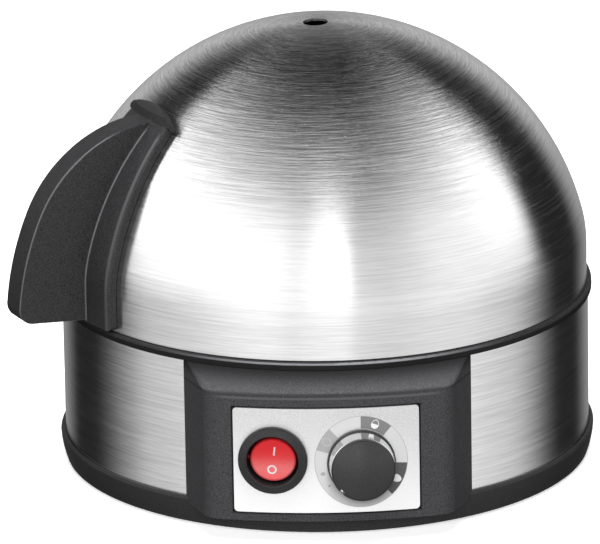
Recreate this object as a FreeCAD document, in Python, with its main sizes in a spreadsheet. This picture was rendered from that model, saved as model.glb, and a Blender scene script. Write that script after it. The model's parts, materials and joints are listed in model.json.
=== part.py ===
"""Egg cooker: a round steel pot with a heated pan, an egg tray, a domed lid and a control panel."""
import FreeCAD, Part
import math
import os
import re

import Sketcher
from FreeCAD import Placement, Rotation, Vector

# Driving sizes in millimetres and degrees. Heights are given from the piece that carries them.
SIZES = {
    # Clearances and walls
    "fit_gap": 0.15,
    "free_gap": 0.3,
    "run_gap": 0.05,
    "cut_over": 1.0,
    "case_wall": 2.5,
    # Base moulding
    "foot_lift": 1.2,
    "ring_ledge": 1.6,
    "ring_draft": 1.7,
    "ring_foot_width": 3.1,
    "ring_height": 9.0,
    "ring_bulge_radius": 30.0,
    "ring_edge_round": 1.0,
    "floor_rise": 2.5,
    "band_seat": 7.2,
    "upstand_height": 8.0,
    "upstand_wall": 2.2,
    "vent_slot_count": 10,
    "vent_slot_width": 3.0,
    "vent_slot_length": 16.0,
    "vent_slot_radius": 28.0,
    # Feet
    "foot_count": 4,
    "foot_inset": 24.0,
    "foot_radius": 7.0,
    "foot_stem_radius": 3.0,
    "foot_head_radius": 4.2,
    "foot_head_height": 1.6,
    # Case screws and their posts
    "post_count": 4,
    "post_inset": 8.1,
    "post_radius": 4.2,
    "post_split_height": 28.0,
    "case_screw_radius": 1.5,
    "case_screw_head_radius": 2.8,
    "case_screw_head_height": 2.0,
    "case_screw_recess": 8.0,
    "case_screw_bite": 12.0,
    # Steel band
    "band_inset": 1.2,
    "band_sheet": 0.5,
    "band_height": 49.1,
    "window_half_width": 31.0,
    "window_height": 39.0,
    "window_rise": 5.3,
    # Upper rim
    "lip_ledge": 1.6,
    "lip_height": 2.5,
    "lip_round": 0.9,
    "rim_skirt_depth": 7.3,
    "rim_skirt_wall": 2.4,
    "collar_wall": 1.6,
    "collar_rise": 3.0,
    "seat_clearance": 1.0,
    "seat_drop": 4.6,
    "seat_wall": 2.0,
    # Heating pan and its seal
    "seal_height": 0.8,
    "seal_width": 4.2,
    "pan_sheet": 1.5,
    "pan_mouth_radius": 76.0,
    "pan_flange_width": 7.4,
    "pan_play": 0.6,
    "pan_floor_inset": 14.0,
    "pan_depth": 15.5,
    "pan_corner_round": 5.0,
    "stud_count": 3,
    "stud_inset": 2.2,
    "stud_radius": 1.5,
    "stud_length": 6.2,
    "stud_nut_flats": 5.5,
    "stud_nut_height": 2.4,
    # Heating element
    "element_circle_radius": 44.0,
    "element_tube_radius": 3.25,
    "element_sweep": 300.0,
    "element_tail": 12.0,
    "element_pin_radius": 1.2,
    "element_pin_length": 9.0,
    "clip_count": 3,
    "clip_width": 9.0,
    "clip_sheet": 1.2,
    "clip_foot": 5.0,
    # Thermostat, fuse and bracket
    "thermostat_radius": 8.0,
    "thermostat_height": 7.0,
    "thermostat_flange_radius": 9.5,
    "thermostat_flange_height": 1.2,
    "bracket_sheet": 1.0,
    "bracket_width": 12.0,
    "bracket_half_length": 20.0,
    "bracket_foot": 8.0,
    "bracket_stud_radius": 1.5,
    "bracket_stud_length": 4.5,
    "bracket_nut_flats": 5.5,
    "bracket_nut_height": 2.4,
    "fuse_radius": 2.0,
    "fuse_length": 12.0,
    "fuse_lead_radius": 0.5,
    "fuse_lead_length": 8.0,
    "fuse_offset": 23.5,
    # Egg tray
    "tray_play": 2.0,
    "tray_wall": 2.0,
    "tray_height": 5.5,
    "egg_count": 6,
    "egg_inset": 25.5,
    "egg_hole_radius": 17.0,
    "egg_hole_bevel": 1.3,
    "grip_inset": 5.5,
    "grip_width": 22.0,
    "grip_height": 10.0,
    "grip_crown_share": 0.62,
    "grip_wall": 2.4,
    # Lid
    "lid_play": 1.6,
    "lid_sheet": 0.8,
    "crown_lift": 0.1,
    "crown_swell": 1.5,
    "shoulder_radius": 40.0,
    "steam_hole_radius": 4.15,
    "steam_hole_offset": 2.0,
    # Lid handle
    "handle_azimuth": 63.5,
    "saddle_gap": 0.1,
    "saddle_wall": 3.3,
    "saddle_half_angle": 12.0,
    "saddle_top_angle": 46.0,
    "saddle_lift": 0.7,
    "fin_wall": 10.5,
    "fin_crest_radius": 47.5,
    "fin_crest_angle": 91.5,
    "fin_knuckle_reach": 19.0,
    "fin_knuckle_height": 38.5,
    "fin_knuckle_angle": 24.8,
    "fin_flank_radius": 92.0,
    "fin_flank_angle": 5.4,
    "fin_toe_radius": 5.2,
    "fin_heel_angle": 85.0,
    "fin_root_height": 1.2,
    "fin_round": 0.5,
    "fin_root_round": 0.6,
    "saddle_round": 1.2,
    "nose_low_angle": 45.0,
    "nose_high_angle": 46.5,
    "nose_tip_angle": 50.0,
    "nose_rise": 1.6,
    "nose_lip": 1.0,
    "nose_round": 6.0,
    "nose_half_angle": 12.7,
    "nose_arch": 3.5,
    "handle_screw_radius": 1.8,
    "handle_screw_bite": 11.0,
    "handle_screw_head_radius": 3.4,
    "handle_screw_head_height": 2.2,
    "handle_washer_radius": 4.6,
    "handle_washer_height": 0.8,
    "handle_screw_low_height": 11.0,
    "handle_screw_high_angle": 33.0,
    # Control panel
    "panel_reach": 7.6,
    "panel_front_radius": 150.0,
    "panel_rear_half_width": 47.1,
    "panel_front_half_width": 36.0,
    "panel_corner_radius": 8.0,
    "panel_foot": 6.5,
    "panel_front_height": 43.5,
    "panel_top_inset": 1.6,
    "panel_top_radius": 2.0,
    "panel_crease": 6.0,
    "panel_roof_wall": 1.9,
    "panel_edge_round": 0.7,
    "panel_boss_radius": 3.0,
    "panel_boss_low": 20.5,
    "panel_boss_high": 42.0,
    "panel_screw_radius": 1.4,
    "panel_screw_head_radius": 2.6,
    "panel_screw_head_height": 1.8,
    "panel_screw_bite": 4.2,
    # Front plate
    "plate_sheet": 0.8,
    "plate_width": 60.6,
    "plate_height": 35.8,
    "plate_offset": 0.8,
    "plate_foot": 9.5,
    "plate_border": 0.5,
    "plate_corner_radius": 1.3,
    # Rocker switch
    "switch_offset": 18.2,
    "switch_height": 27.8,
    "bezel_radius": 11.4,
    "bezel_edge": 1.9,
    "bezel_crest": 2.6,
    "bezel_round": 0.8,
    "bezel_bevel": 0.4,
    "switch_barrel_radius": 10.0,
    "switch_depth": 17.0,
    "switch_well_radius": 8.5,
    "switch_well_depth": 9.0,
    "switch_lug_reach": 0.8,
    "switch_lug_length": 4.0,
    "switch_lug_width": 6.0,
    "rocker_pivot_depth": 3.0,
    "rocker_waist_radius": 8.15,
    "rocker_face_radius": 7.4,
    "rocker_face_height": 0.4,
    "rocker_edge_bevel": 0.45,
    "rocker_dish": 0.7,
    "rocker_dish_margin": 0.5,
    "rocker_keel": 3.2,
    "rocker_keel_taper": 1.5,
    "rocker_tilt": 5.0,
    "rocker_pin_radius": 1.2,
    "rocker_pin_reach": 9.4,
    "blade_width": 6.3,
    "blade_sheet": 0.8,
    "blade_length": 8.0,
    "blade_pitch": 5.6,
    # Knob and regulator
    "knob_offset": 10.5,
    "knob_height": 26.9,
    "knob_gap": 0.6,
    "knob_skirt_radius": 11.2,
    "knob_skirt_height": 1.2,
    "knob_core_radius": 9.3,
    "knob_front": 9.3,
    "knob_cap_height": 1.6,
    "knob_cap_round": 0.5,
    "knob_edge_bevel": 0.3,
    "knob_cap_radius": 10.45,
    "knob_ring_foot_radius": 10.85,
    "knob_ring_top_radius": 10.45,
    "knob_recess_radius": 7.4,
    "knob_recess_height": 2.2,
    "knob_notch_width": 1.7,
    "knob_notch_depth": 1.0,
    "knob_notch_angle": 225.0,
    "shaft_radius": 3.0,
    "shaft_flat": 0.6,
    "shaft_in_knob": 6.5,
    "bush_radius": 4.5,
    "bush_length": 3.0,
    "regulator_radius": 8.5,
    "regulator_depth": 9.0,
    "control_nut_flats": 11.0,
    "control_nut_height": 1.8,
    "control_washer_radius": 6.4,
    "control_washer_height": 0.5,
    "board_offset": 3.0,
    "board_width": 33.0,
    "board_height": 28.0,
    "board_sheet": 1.6,
    "buzzer_radius": 6.0,
    "buzzer_height": 7.0,
    "buzzer_offset": 8.5,
    # Cord gland and terminal block
    "gland_height": 26.0,
    "gland_flange_radius": 7.5,
    "gland_flange_wall": 1.8,
    "gland_flange_bevel": 1.0,
    "gland_neck_radius": 5.2,
    "gland_neck_length": 8.0,
    "gland_bore_radius": 3.4,
    "block_width": 30.0,
    "block_depth": 16.0,
    "block_height": 12.0,
    "block_well_radius": 3.3,
    "block_inset": 28.4,
}

# Radii and levels that follow: each ring of the pot is built outwards from the pan's mouth
DERIVED = {
    "pan_flange_radius": "pan_mouth_radius + pan_flange_width",
    "pan_floor_radius": "pan_mouth_radius - pan_floor_inset",
    "seat_radius": "pan_mouth_radius + pan_sheet + seat_clearance",
    "stud_circle_radius": "pan_flange_radius - stud_inset",
    "pocket_radius": "pan_flange_radius + pan_play",
    "collar_radius": "pocket_radius + collar_wall",
    "tray_radius": "pocket_radius - tray_play",
    "grip_radius": "tray_radius - grip_inset",
    "egg_circle_radius": "grip_radius - egg_inset",
    "lid_skirt_radius": "collar_radius + lid_play + lid_sheet",
    "crown_radius": "lid_skirt_radius + crown_swell",
    "lip_radius": "lid_skirt_radius + lip_ledge",
    "band_radius": "lip_radius - band_inset",
    "band_inside": "band_radius - band_sheet",
    "post_circle_radius": "band_inside - post_inset",
    "ring_radius": "band_radius + ring_ledge",
    "ring_foot_radius": "ring_radius - ring_draft",
    "foot_circle_radius": "ring_radius - foot_inset",
    "floor_under": "foot_lift + floor_rise",
    "floor_top": "floor_under + case_wall",
    "ring_top": "foot_lift + ring_height",
    "band_foot": "foot_lift + band_seat",
    "band_top": "band_foot + band_height",
    "upstand_radius": "band_inside - fit_gap",
    "upstand_top": "band_foot + upstand_height",
    "post_split": "floor_under + post_split_height",
    "lip_top": "band_top + lip_height",
    "rim_skirt_radius": "band_inside - 2 * fit_gap",
    "rim_skirt_foot": "band_top - rim_skirt_depth",
    "collar_top": "lip_top + collar_rise",
    "seat_top": "lip_top - seat_drop",
    "seat_under": "seat_top - seat_wall",
    "seal_top": "seat_top + seal_height",
    "flange_top": "seal_top + pan_sheet",
    "pan_floor": "flange_top - pan_depth",
    "pan_under": "pan_floor - pan_sheet",
    "tray_foot": "flange_top + free_gap",
    "tray_top": "tray_foot + tray_height",
    "lid_foot": "lip_top + free_gap",
    "lid_top": "lid_foot + crown_lift + crown_radius",
    "crown_centre": "lid_top - crown_radius",
    "arc_step": "crown_radius - shoulder_radius",
    "shoulder_r": "lid_skirt_radius - shoulder_radius",
    "shoulder_rise": "sqrt(arc_step * arc_step - shoulder_r * shoulder_r)",
    "shoulder_z": "crown_centre + shoulder_rise",
    "knuckle_x": "lid_skirt_radius + fin_knuckle_reach",
    "knuckle_z": "lid_foot + fin_knuckle_height",
    "crest_step": "fin_flank_radius - fin_crest_radius",
    "flank_x": "knuckle_x - fin_flank_radius * cos(fin_knuckle_angle)",
    "flank_z": "knuckle_z - fin_flank_radius * sin(fin_knuckle_angle)",
    "crest_x": "flank_x + crest_step * cos(fin_knuckle_angle)",
    "crest_z": "flank_z + crest_step * sin(fin_knuckle_angle)",
    "toe_step": "fin_flank_radius - fin_toe_radius",
    "toe_x": "flank_x + toe_step * cos(fin_flank_angle)",
    "toe_z": "flank_z + toe_step * sin(fin_flank_angle)",
    "panel_front": "band_radius + panel_reach",
    "panel_under": "foot_lift + panel_foot",
    "panel_edge": "panel_under + panel_front_height",
    "panel_crown": "band_top - fit_gap",
    "panel_arc_centre": "panel_front_radius - panel_front",
    "panel_rear_depth": "sqrt(band_radius ^ 2 - panel_rear_half_width ^ 2)",
    "panel_top_half_width": "panel_rear_half_width - panel_top_inset",
    "panel_lean": "panel_front_half_width / panel_front_radius",
    "panel_corner_step": "panel_front_radius - panel_corner_radius",
    "panel_corner_x": "panel_corner_step * panel_lean",
    "panel_corner_y": "panel_corner_step * sqrt(1 - panel_lean ^ 2) - panel_arc_centre",
    "panel_boss_azimuth": "atan(panel_corner_x / panel_corner_y) / 1 deg",
    "panel_boss_along": "sqrt(panel_corner_x ^ 2 + panel_corner_y ^ 2)",
    "panel_boss_exit": "panel_boss_along + sqrt(panel_corner_radius ^ 2 - panel_boss_radius ^ 2)",
    "panel_boss_tip": "panel_boss_exit - case_wall / 2",
    "brow_radius": "lip_radius - fit_gap",
    "brow_lean": "panel_top_half_width / brow_radius",
    "plate_under": "foot_lift + plate_foot",
    "recess_radius": "panel_front_radius - plate_sheet - fit_gap",
    "switch_z": "foot_lift + switch_height",
    "knob_z": "foot_lift + knob_height",
    "wall_back": "case_wall + 3 * fit_gap",
    "regulator_back": "wall_back + regulator_depth",
    "gland_z": "foot_lift + gland_height",
    "block_distance": "band_radius - block_inset",
}

doc = FreeCAD.newDocument("egg_cooker")
sheet = doc.addObject("Spreadsheet::Sheet", "dims")
parts = []

# How near two places count as one when edges are picked
NEAR = 0.01


def fill_sheet():
    """One row per size: its name, its number or formula, and an alias."""
    formulas = {name: f"={formula}" for name, formula in DERIVED.items()}
    for row, (name, content) in enumerate({**SIZES, **formulas}.items(), 1):
        sheet.set(f"A{row}", name)
        sheet.set(f"B{row}", str(content))
        sheet.setAlias(f"B{row}", name)
    doc.recompute()


def expand(text):
    """Turn size names in a formula into references to the sheet's cells."""

    def swap(match):
        word = match.group(0)
        return f"dims.{word}" if word in SIZES or word in DERIVED else word

    return re.sub(r"[a-z][a-z_]*", swap, str(text))


def value(text):
    """The number that a formula gives with the sheet's present sizes."""
    number = sheet.evalExpression(expand(text))
    return float(getattr(number, "Value", number))


def bind(target, path, text):
    target.setExpression(path, expand(text))


def new_body(label):
    body = doc.addObject("PartDesign::Body", label)
    body.Label = label
    parts.append(body)
    return body


def sketch_on(body, role, base=("0", "0", "0"), turn="0", turn_axis=Vector(0, 0, 1)):
    """A sketch on one of the body's own origin planes, moved and turned within that plane's frame."""
    sketch = body.newObject("Sketcher::SketchObject", f"{body.Name}_sketch")
    plane = next(item for item in body.Origin.OriginFeatures if item.Role == role)
    sketch.AttachmentSupport = [(plane, "")]
    sketch.MapMode = "FlatFace"
    start = Vector(*[value(text) for text in base])
    sketch.AttachmentOffset = Placement(start, Rotation(turn_axis, value(turn)))
    for letter, text in zip("xyz", base):
        if text != "0":
            bind(sketch, f"AttachmentOffset.Base.{letter}", text)
    if turn != "0":
        bind(sketch, "AttachmentOffset.Rotation.Angle", turn)
    return sketch


def upright_sketch(body, x="0", y="0"):
    """A sketch in a vertical plane whose V axis stands at x, y: widths go right, heights go up."""
    return sketch_on(body, "XZ_Plane", (x, "0", f"-({y})"))


def leaning_sketch(body, x, z, elevation):
    """A sketch in the XZ plane whose V axis leaves the point x, z at an elevation above the X axis."""
    return sketch_on(body, "XZ_Plane", (x, z, "0"), f"{elevation} - 90")


def level_sketch(body, x, y, z, heading):
    """A level sketch whose V axis leaves x, y, z towards the front, turned by a heading about Z."""
    return sketch_on(body, "XY_Plane", (x, y, z), f"180 + {heading}")


def arc_between(start, end, radius):
    """The minor arc from start to end, anticlockwise for a positive radius."""
    middle = (start + end) * 0.5
    chord = end - start
    half = chord.Length / 2
    reach = math.sqrt(max(radius * radius - half * half, 0.0))
    left = Vector(-chord.y, chord.x, 0).normalize()
    centre = middle + left * (reach if radius > 0 else -reach)
    circle = Part.Circle(centre, Vector(0, 0, 1), abs(radius))
    first, last = (start, end) if radius > 0 else (end, start)
    angles = [math.atan2(point.y - centre.y, point.x - centre.x) for point in (first, last)]
    if angles[1] < angles[0]:
        angles[1] += 2 * math.pi
    return Part.ArcOfCircle(circle, *angles)


def outline(sketch, points):
    """A closed outline. A point is (x, y) or (x, y, radius), and a radius bends the edge after it."""
    spots = [Vector(value(point[0]), value(point[1]), 0) for point in points]
    first = sketch.GeometryCount
    edges = []
    rules = []
    formulas = []
    for index, point in enumerate(points):
        after = spots[(index + 1) % len(points)]
        bend = point[2] if len(point) > 2 else None
        if bend is None:
            edges.append((Part.LineSegment(spots[index], after), 1, 2))
            continue
        radius = value(bend)
        ends = (1, 2) if radius > 0 else (2, 1)
        edges.append((arc_between(spots[index], after, radius), *ends))
    sketch.addGeometry([edge[0] for edge in edges])
    for index, point in enumerate(points):
        here = first + index
        ahead = (index + 1) % len(points)
        start, end = edges[index][1:]
        rules.append(Sketcher.Constraint("Coincident", here, end, first + ahead, edges[ahead][1]))
        formulas.append(None)
        for kind, text, spot in zip(("DistanceX", "DistanceY"), point, spots[index]):
            rules.append(Sketcher.Constraint(kind, -1, 1, here, start, spot))
            formulas.append(text)
        if len(point) > 2:
            rules.append(Sketcher.Constraint("Radius", here, abs(value(point[2]))))
            formulas.append(f"abs({point[2]})")
    offset = sketch.ConstraintCount
    sketch.addConstraint(rules)
    for index, text in enumerate(formulas):
        if text is not None:
            bind(sketch, f"Constraints[{offset + index}]", text)


def box_outline(sketch, left, low, right, high):
    outline(sketch, [(left, low), (right, low), (right, high), (left, high)])


def circle(sketch, x, y, radius):
    spot = Vector(value(x), value(y), 0)
    index = sketch.addGeometry(Part.Circle(spot, Vector(0, 0, 1), value(radius)))
    rules = (
        (Sketcher.Constraint("DistanceX", -1, 1, index, 3, spot.x), x),
        (Sketcher.Constraint("DistanceY", -1, 1, index, 3, spot.y), y),
        (Sketcher.Constraint("Radius", index, value(radius)), radius),
    )
    for rule, text in rules:
        bind(sketch, f"Constraints[{sketch.addConstraint(rule)}]", text)


def feature(body, kind, sketch):
    """Add a feature on a sketch, and give it back with the body's volume before it."""
    before = 0.0 if body.Shape.isNull() else body.Shape.Volume
    item = body.newObject(f"PartDesign::{kind}", f"{body.Name}_{kind.lower()}")
    item.Profile = sketch
    return item, before


def settle(item, before):
    """Recompute, and make sure that the feature worked and changed the body's volume."""
    doc.recompute()
    if not item.isValid():
        raise RuntimeError(f"{item.Name} failed: {item.getStatusString()}")
    if abs(item.Shape.Volume - before) < 1e-6:
        raise RuntimeError(f"{item.Name} changes nothing")
    return item


def revolve(body, sketch, angle=None, kind="Revolution"):
    item, before = feature(body, kind, sketch)
    item.ReferenceAxis = (sketch, ["V_Axis"])
    item.Angle = 360
    if angle is not None:
        item.Midplane = True
        bind(item, "Angle", angle)
    return settle(item, before)


def groove(body, sketch):
    return revolve(body, sketch, kind="Groove")


def pad(body, sketch, length, symmetric=False, reverse=False):
    item, before = feature(body, "Pad", sketch)
    item.SideType = "Symmetric" if symmetric else "One side"
    item.Reversed = reverse
    bind(item, "Length", length)
    return settle(item, before)


def pocket(body, sketch, length=None, symmetric=False, reverse=False):
    item, before = feature(body, "Pocket", sketch)
    item.SideType = "Symmetric" if symmetric else "One side"
    item.Reversed = reverse
    if length is None:
        item.Type = "ThroughAll"
    else:
        bind(item, "Length", length)
    return settle(item, before)


def loft(body, first, second, kind="AdditiveLoft"):
    item, before = feature(body, kind, first)
    item.Sections = [second]
    item.Ruled = True
    return settle(item, before)


def polar(body, items, count):
    """Repeat features evenly round the body's Z axis."""
    axis = next(item for item in body.Origin.OriginFeatures if item.Role == "Z_Axis")
    pattern = body.newObject("PartDesign::PolarPattern", f"{body.Name}_pattern")
    pattern.Originals = items
    pattern.Axis = (axis, [""])
    pattern.Angle = 360
    bind(pattern, "Occurrences", count)
    before = body.Shape.Volume
    body.Tip = pattern
    return settle(pattern, before)


def round_edges(body, radius, chosen):
    """Fillet the edges of the body's tip that a test picks."""
    base = body.Tip
    names = [f"Edge{i}" for i, edge in enumerate(base.Shape.Edges, 1) if chosen(edge)]
    if not names:
        raise RuntimeError(f"{body.Label} has no edge to round")
    item = body.newObject("PartDesign::Fillet", f"{body.Name}_fillet")
    item.Base = (base, names)
    bind(item, "Radius", radius)
    return settle(item, base.Shape.Volume)


def middle_of(edge):
    return edge.valueAt((edge.FirstParameter + edge.LastParameter) / 2)


def ring(body, inner, outer, low, high):
    """A plain turned ring or disc about the body's Z axis."""
    sketch = upright_sketch(body)
    box_outline(sketch, inner, low, outer, high)
    return revolve(body, sketch)


def hexagon(sketch, flats):
    """A nut's outline about the sketch's origin, with two corners on the X axis."""
    corner = f"({flats}) / 2 / cos(30)"
    outline(sketch, [(f"{corner} * cos({60 * side})", f"{corner} * sin({60 * side})") for side in range(6)])


# Places of the repeated posts and feet, on the diagonals of the base
DIAGONAL = "cos(45)"


def on_diagonal(radius):
    return f"{radius} * {DIAGONAL}", f"{radius} * {DIAGONAL}"


# A hair over half the slot's width keeps the round end a minor arc
SLOT_END = "vent_slot_width * 0.501"


def make_base_pan():
    body = new_body("base_pan")
    section = upright_sketch(body)
    outline(section, [
        ("ring_foot_radius - ring_foot_width", "foot_lift"),
        ("ring_foot_radius", "foot_lift", "ring_bulge_radius"),
        ("ring_radius", "ring_top - ring_edge_round", "ring_edge_round"),
        ("ring_radius - ring_edge_round", "ring_top"),
        ("band_radius + fit_gap", "ring_top"),
        ("band_radius + fit_gap", "band_foot"),
        ("upstand_radius", "band_foot"),
        ("upstand_radius", "upstand_top"),
        ("upstand_radius - upstand_wall", "upstand_top"),
        ("upstand_radius - upstand_wall", "floor_top"),
        ("0", "floor_top"),
        ("0", "floor_under"),
        ("ring_foot_radius - ring_foot_width", "floor_under"),
    ])
    revolve(body, section)
    posts = upright_sketch(body, *on_diagonal("post_circle_radius"))
    box_outline(posts, "0", "floor_under", "post_radius", "post_split")
    post = revolve(body, posts)
    polar(body, [post], "post_count")
    bores = upright_sketch(body, *on_diagonal("post_circle_radius"))
    outline(bores, [
        ("0", "floor_under - cut_over"),
        ("case_screw_head_radius + fit_gap", "floor_under - cut_over"),
        ("case_screw_head_radius + fit_gap", "floor_under + case_screw_recess"),
        ("case_screw_radius + fit_gap", "floor_under + case_screw_recess"),
        ("case_screw_radius + fit_gap", "post_split + cut_over"),
        ("0", "post_split + cut_over"),
    ])
    bore = groove(body, bores)
    polar(body, [bore], "post_count")
    sockets = upright_sketch(body, *on_diagonal("foot_circle_radius"))
    box_outline(sockets, "0", "floor_under - cut_over", "foot_stem_radius + fit_gap", "floor_top + cut_over")
    socket = groove(body, sockets)
    polar(body, [socket], "foot_count")
    slots = sketch_on(body, "XY_Plane", ("0", "0", "floor_under"))
    half = "vent_slot_width / 2"
    outline(slots, [
        ("vent_slot_radius", f"-{half}"),
        ("vent_slot_radius + vent_slot_length", f"-{half}", SLOT_END),
        ("vent_slot_radius + vent_slot_length", half),
        ("vent_slot_radius", half, SLOT_END),
    ])
    slot = pocket(body, slots, reverse=True)
    polar(body, [slot], "vent_slot_count")
    notch = sketch_on(body, "XY_Plane", ("0", "0", "panel_under - fit_gap"))
    outline(notch, panel_outline("-fit_gap"))
    pocket(body, notch, "ring_height", reverse=True)


def make_rubber_feet():
    body = new_body("rubber_feet")
    section = upright_sketch(body, *on_diagonal("foot_circle_radius"))
    head_low = "floor_top + fit_gap"
    outline(section, [
        ("0", "0"),
        ("foot_radius", "0"),
        ("foot_radius", "floor_under"),
        ("foot_stem_radius", "floor_under"),
        ("foot_stem_radius", head_low),
        ("foot_head_radius", head_low),
        ("foot_stem_radius", f"{head_low} + foot_head_height"),
        ("0", f"{head_low} + foot_head_height"),
    ])
    foot = revolve(body, section)
    polar(body, [foot], "foot_count")


def make_steel_band():
    body = new_body("steel_band")
    ring(body, "band_inside", "band_radius", "band_foot", "band_top")
    window = sketch_on(body, "XZ_Plane")
    low = "band_foot + window_rise"
    box_outline(window, "-window_half_width", low, "window_half_width", f"{low} + window_height")
    pocket(body, window, "ring_radius", reverse=True)
    for side in (-1, 1):
        for level in ("panel_boss_low", "panel_boss_high"):
            hole = level_sketch(body, "0", "0", f"foot_lift + {level}", f"{side} * panel_boss_azimuth")
            box_outline(hole, "0", "band_inside - cut_over", "panel_screw_radius + fit_gap", "band_radius + cut_over")
            groove(body, hole)
    gland = level_sketch(body, "0", "0", "gland_z", "180")
    box_outline(gland, "0", "band_inside - cut_over", "gland_neck_radius + fit_gap", "band_radius + cut_over")
    groove(body, gland)


def make_upper_rim():
    body = new_body("upper_rim")
    section = upright_sketch(body)
    outline(section, [
        ("rim_skirt_radius - rim_skirt_wall", "rim_skirt_foot"),
        ("rim_skirt_radius", "rim_skirt_foot"),
        ("rim_skirt_radius", "band_top"),
        ("lip_radius", "band_top"),
        ("lip_radius", "lip_top - lip_round", "lip_round"),
        ("lip_radius - lip_round", "lip_top"),
        ("collar_radius", "lip_top"),
        ("collar_radius", "collar_top"),
        ("pocket_radius", "collar_top"),
        ("pocket_radius", "seat_top"),
        ("seat_radius", "seat_top"),
        ("seat_radius", "seat_under"),
        ("rim_skirt_radius - rim_skirt_wall", "seat_under"),
    ])
    revolve(body, section)
    posts = upright_sketch(body, *on_diagonal("post_circle_radius"))
    box_outline(posts, "0", "post_split", "post_radius", "seat_under")
    post = revolve(body, posts)
    polar(body, [post], "post_count")
    pilots = upright_sketch(body, *on_diagonal("post_circle_radius"))
    box_outline(pilots, "0", "post_split - cut_over", "case_screw_radius", "post_split + case_screw_bite + fit_gap")
    pilot = groove(body, pilots)
    polar(body, [pilot], "post_count")
    holes = upright_sketch(body, "0", "stud_circle_radius")
    box_outline(holes, "0", "seat_under - cut_over", "stud_radius + fit_gap", "seat_top + cut_over")
    hole = groove(body, holes)
    polar(body, [hole], "stud_count")


def make_case_screws():
    body = new_body("case_screws")
    section = upright_sketch(body, *on_diagonal("post_circle_radius"))
    seat = "floor_under + case_screw_recess"
    outline(section, [
        ("0", f"{seat} - case_screw_head_height"),
        ("case_screw_head_radius", f"{seat} - case_screw_head_height"),
        ("case_screw_head_radius", seat),
        ("case_screw_radius", seat),
        ("case_screw_radius", "post_split + case_screw_bite"),
        ("0", "post_split + case_screw_bite"),
    ])
    screw = revolve(body, section)
    polar(body, [screw], "post_count")


def make_heating_pan():
    body = new_body("heating_pan")
    section = upright_sketch(body)
    outline(section, [
        ("0", "pan_under"),
        ("pan_floor_radius + pan_sheet / 2", "pan_under"),
        ("pan_mouth_radius + pan_sheet", "seal_top"),
        ("pan_flange_radius", "seal_top"),
        ("pan_flange_radius", "flange_top"),
        ("pan_mouth_radius", "flange_top"),
        ("pan_floor_radius", "pan_floor"),
        ("0", "pan_floor"),
    ])
    revolve(body, section)

    def at_floor_corner(edge):
        box = edge.BoundBox
        return box.ZLength < NEAR and abs(box.XMax - value("pan_floor_radius")) < NEAR

    round_edges(body, "pan_corner_round", at_floor_corner)
    studs = upright_sketch(body, "0", "stud_circle_radius")
    box_outline(studs, "0", "seal_top - stud_length", "stud_radius", "seal_top + pan_sheet / 2")
    stud = revolve(body, studs)
    polar(body, [stud], "stud_count")
    for side in (-1, 1):
        bracket_studs = upright_sketch(body, f"{side} * bracket_half_length")
        box_outline(bracket_studs, "0", "pan_under - bracket_stud_length", "bracket_stud_radius",
                    "pan_under + pan_sheet / 2")
        revolve(body, bracket_studs)


def make_pan_seal():
    body = new_body("pan_seal")
    ring(body, "pan_flange_radius - seal_width", "pan_flange_radius", "seat_top", "seal_top")
    holes = upright_sketch(body, "0", "stud_circle_radius")
    box_outline(holes, "0", "seat_top - cut_over", "stud_radius + fit_gap", "seal_top + cut_over")
    hole = groove(body, holes)
    polar(body, [hole], "stud_count")


def make_pan_nuts():
    body = new_body("pan_nuts")
    faces = sketch_on(body, "XY_Plane", ("0", "stud_circle_radius", "seat_under"))
    hexagon(faces, "stud_nut_flats")
    nut = pad(body, faces, "stud_nut_height", reverse=True)
    bores = upright_sketch(body, "0", "stud_circle_radius")
    box_outline(bores, "0", "seat_under - stud_nut_height - cut_over", "stud_radius + run_gap", "seat_under + cut_over")
    bore = groove(body, bores)
    polar(body, [nut, bore], "stud_count")


ELEMENT_Z = "pan_under - fit_gap - element_tube_radius"


def make_heating_element():
    body = new_body("heating_element")
    tube = upright_sketch(body, "0", "0")
    circle(tube, "element_circle_radius", ELEMENT_Z, "element_tube_radius")
    revolve(body, tube, "element_sweep")
    body.Placement = Placement(Vector(0, 0, 0), Rotation(Vector(0, 0, 1), 270))
    for side in (-1, 1):
        turn = f"{side} * element_sweep / 2"
        start = (f"element_circle_radius * cos({turn})", f"element_circle_radius * sin({turn})", ELEMENT_Z)
        tail = sketch_on(body, "XY_Plane", start, turn)
        box_outline(tail, "0", "0", "element_tube_radius", f"{side} * element_tail")
        revolve(body, tail)


def make_element_terminals():
    body = new_body("element_terminals")
    body.Placement = Placement(Vector(0, 0, 0), Rotation(Vector(0, 0, 1), 270))
    for side in (-1, 1):
        turn = f"{side} * element_sweep / 2"
        start = (f"element_circle_radius * cos({turn})", f"element_circle_radius * sin({turn})", ELEMENT_Z)
        pin = sketch_on(body, "XY_Plane", start, turn)
        near = f"{side} * element_tail"
        box_outline(pin, "0", near, "element_pin_radius", f"{side} * (element_tail + element_pin_length)")
        revolve(body, pin)


def strap_outline(gap, low):
    """A hat-shaped strap under the pan, open for a half width down to a low level."""
    outer = f"{gap} + clip_sheet"
    wing = f"{outer} + clip_foot"
    wing_low = "pan_under - clip_sheet"
    return [
        (f"-({wing})", wing_low),
        (f"-({outer})", wing_low),
        (f"-({outer})", f"{low} - clip_sheet"),
        (outer, f"{low} - clip_sheet"),
        (outer, wing_low),
        (wing, wing_low),
        (wing, "pan_under"),
        (gap, "pan_under"),
        (gap, low),
        (f"-({gap})", low),
        (f"-({gap})", "pan_under"),
        (f"-({wing})", "pan_under"),
    ]


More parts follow.
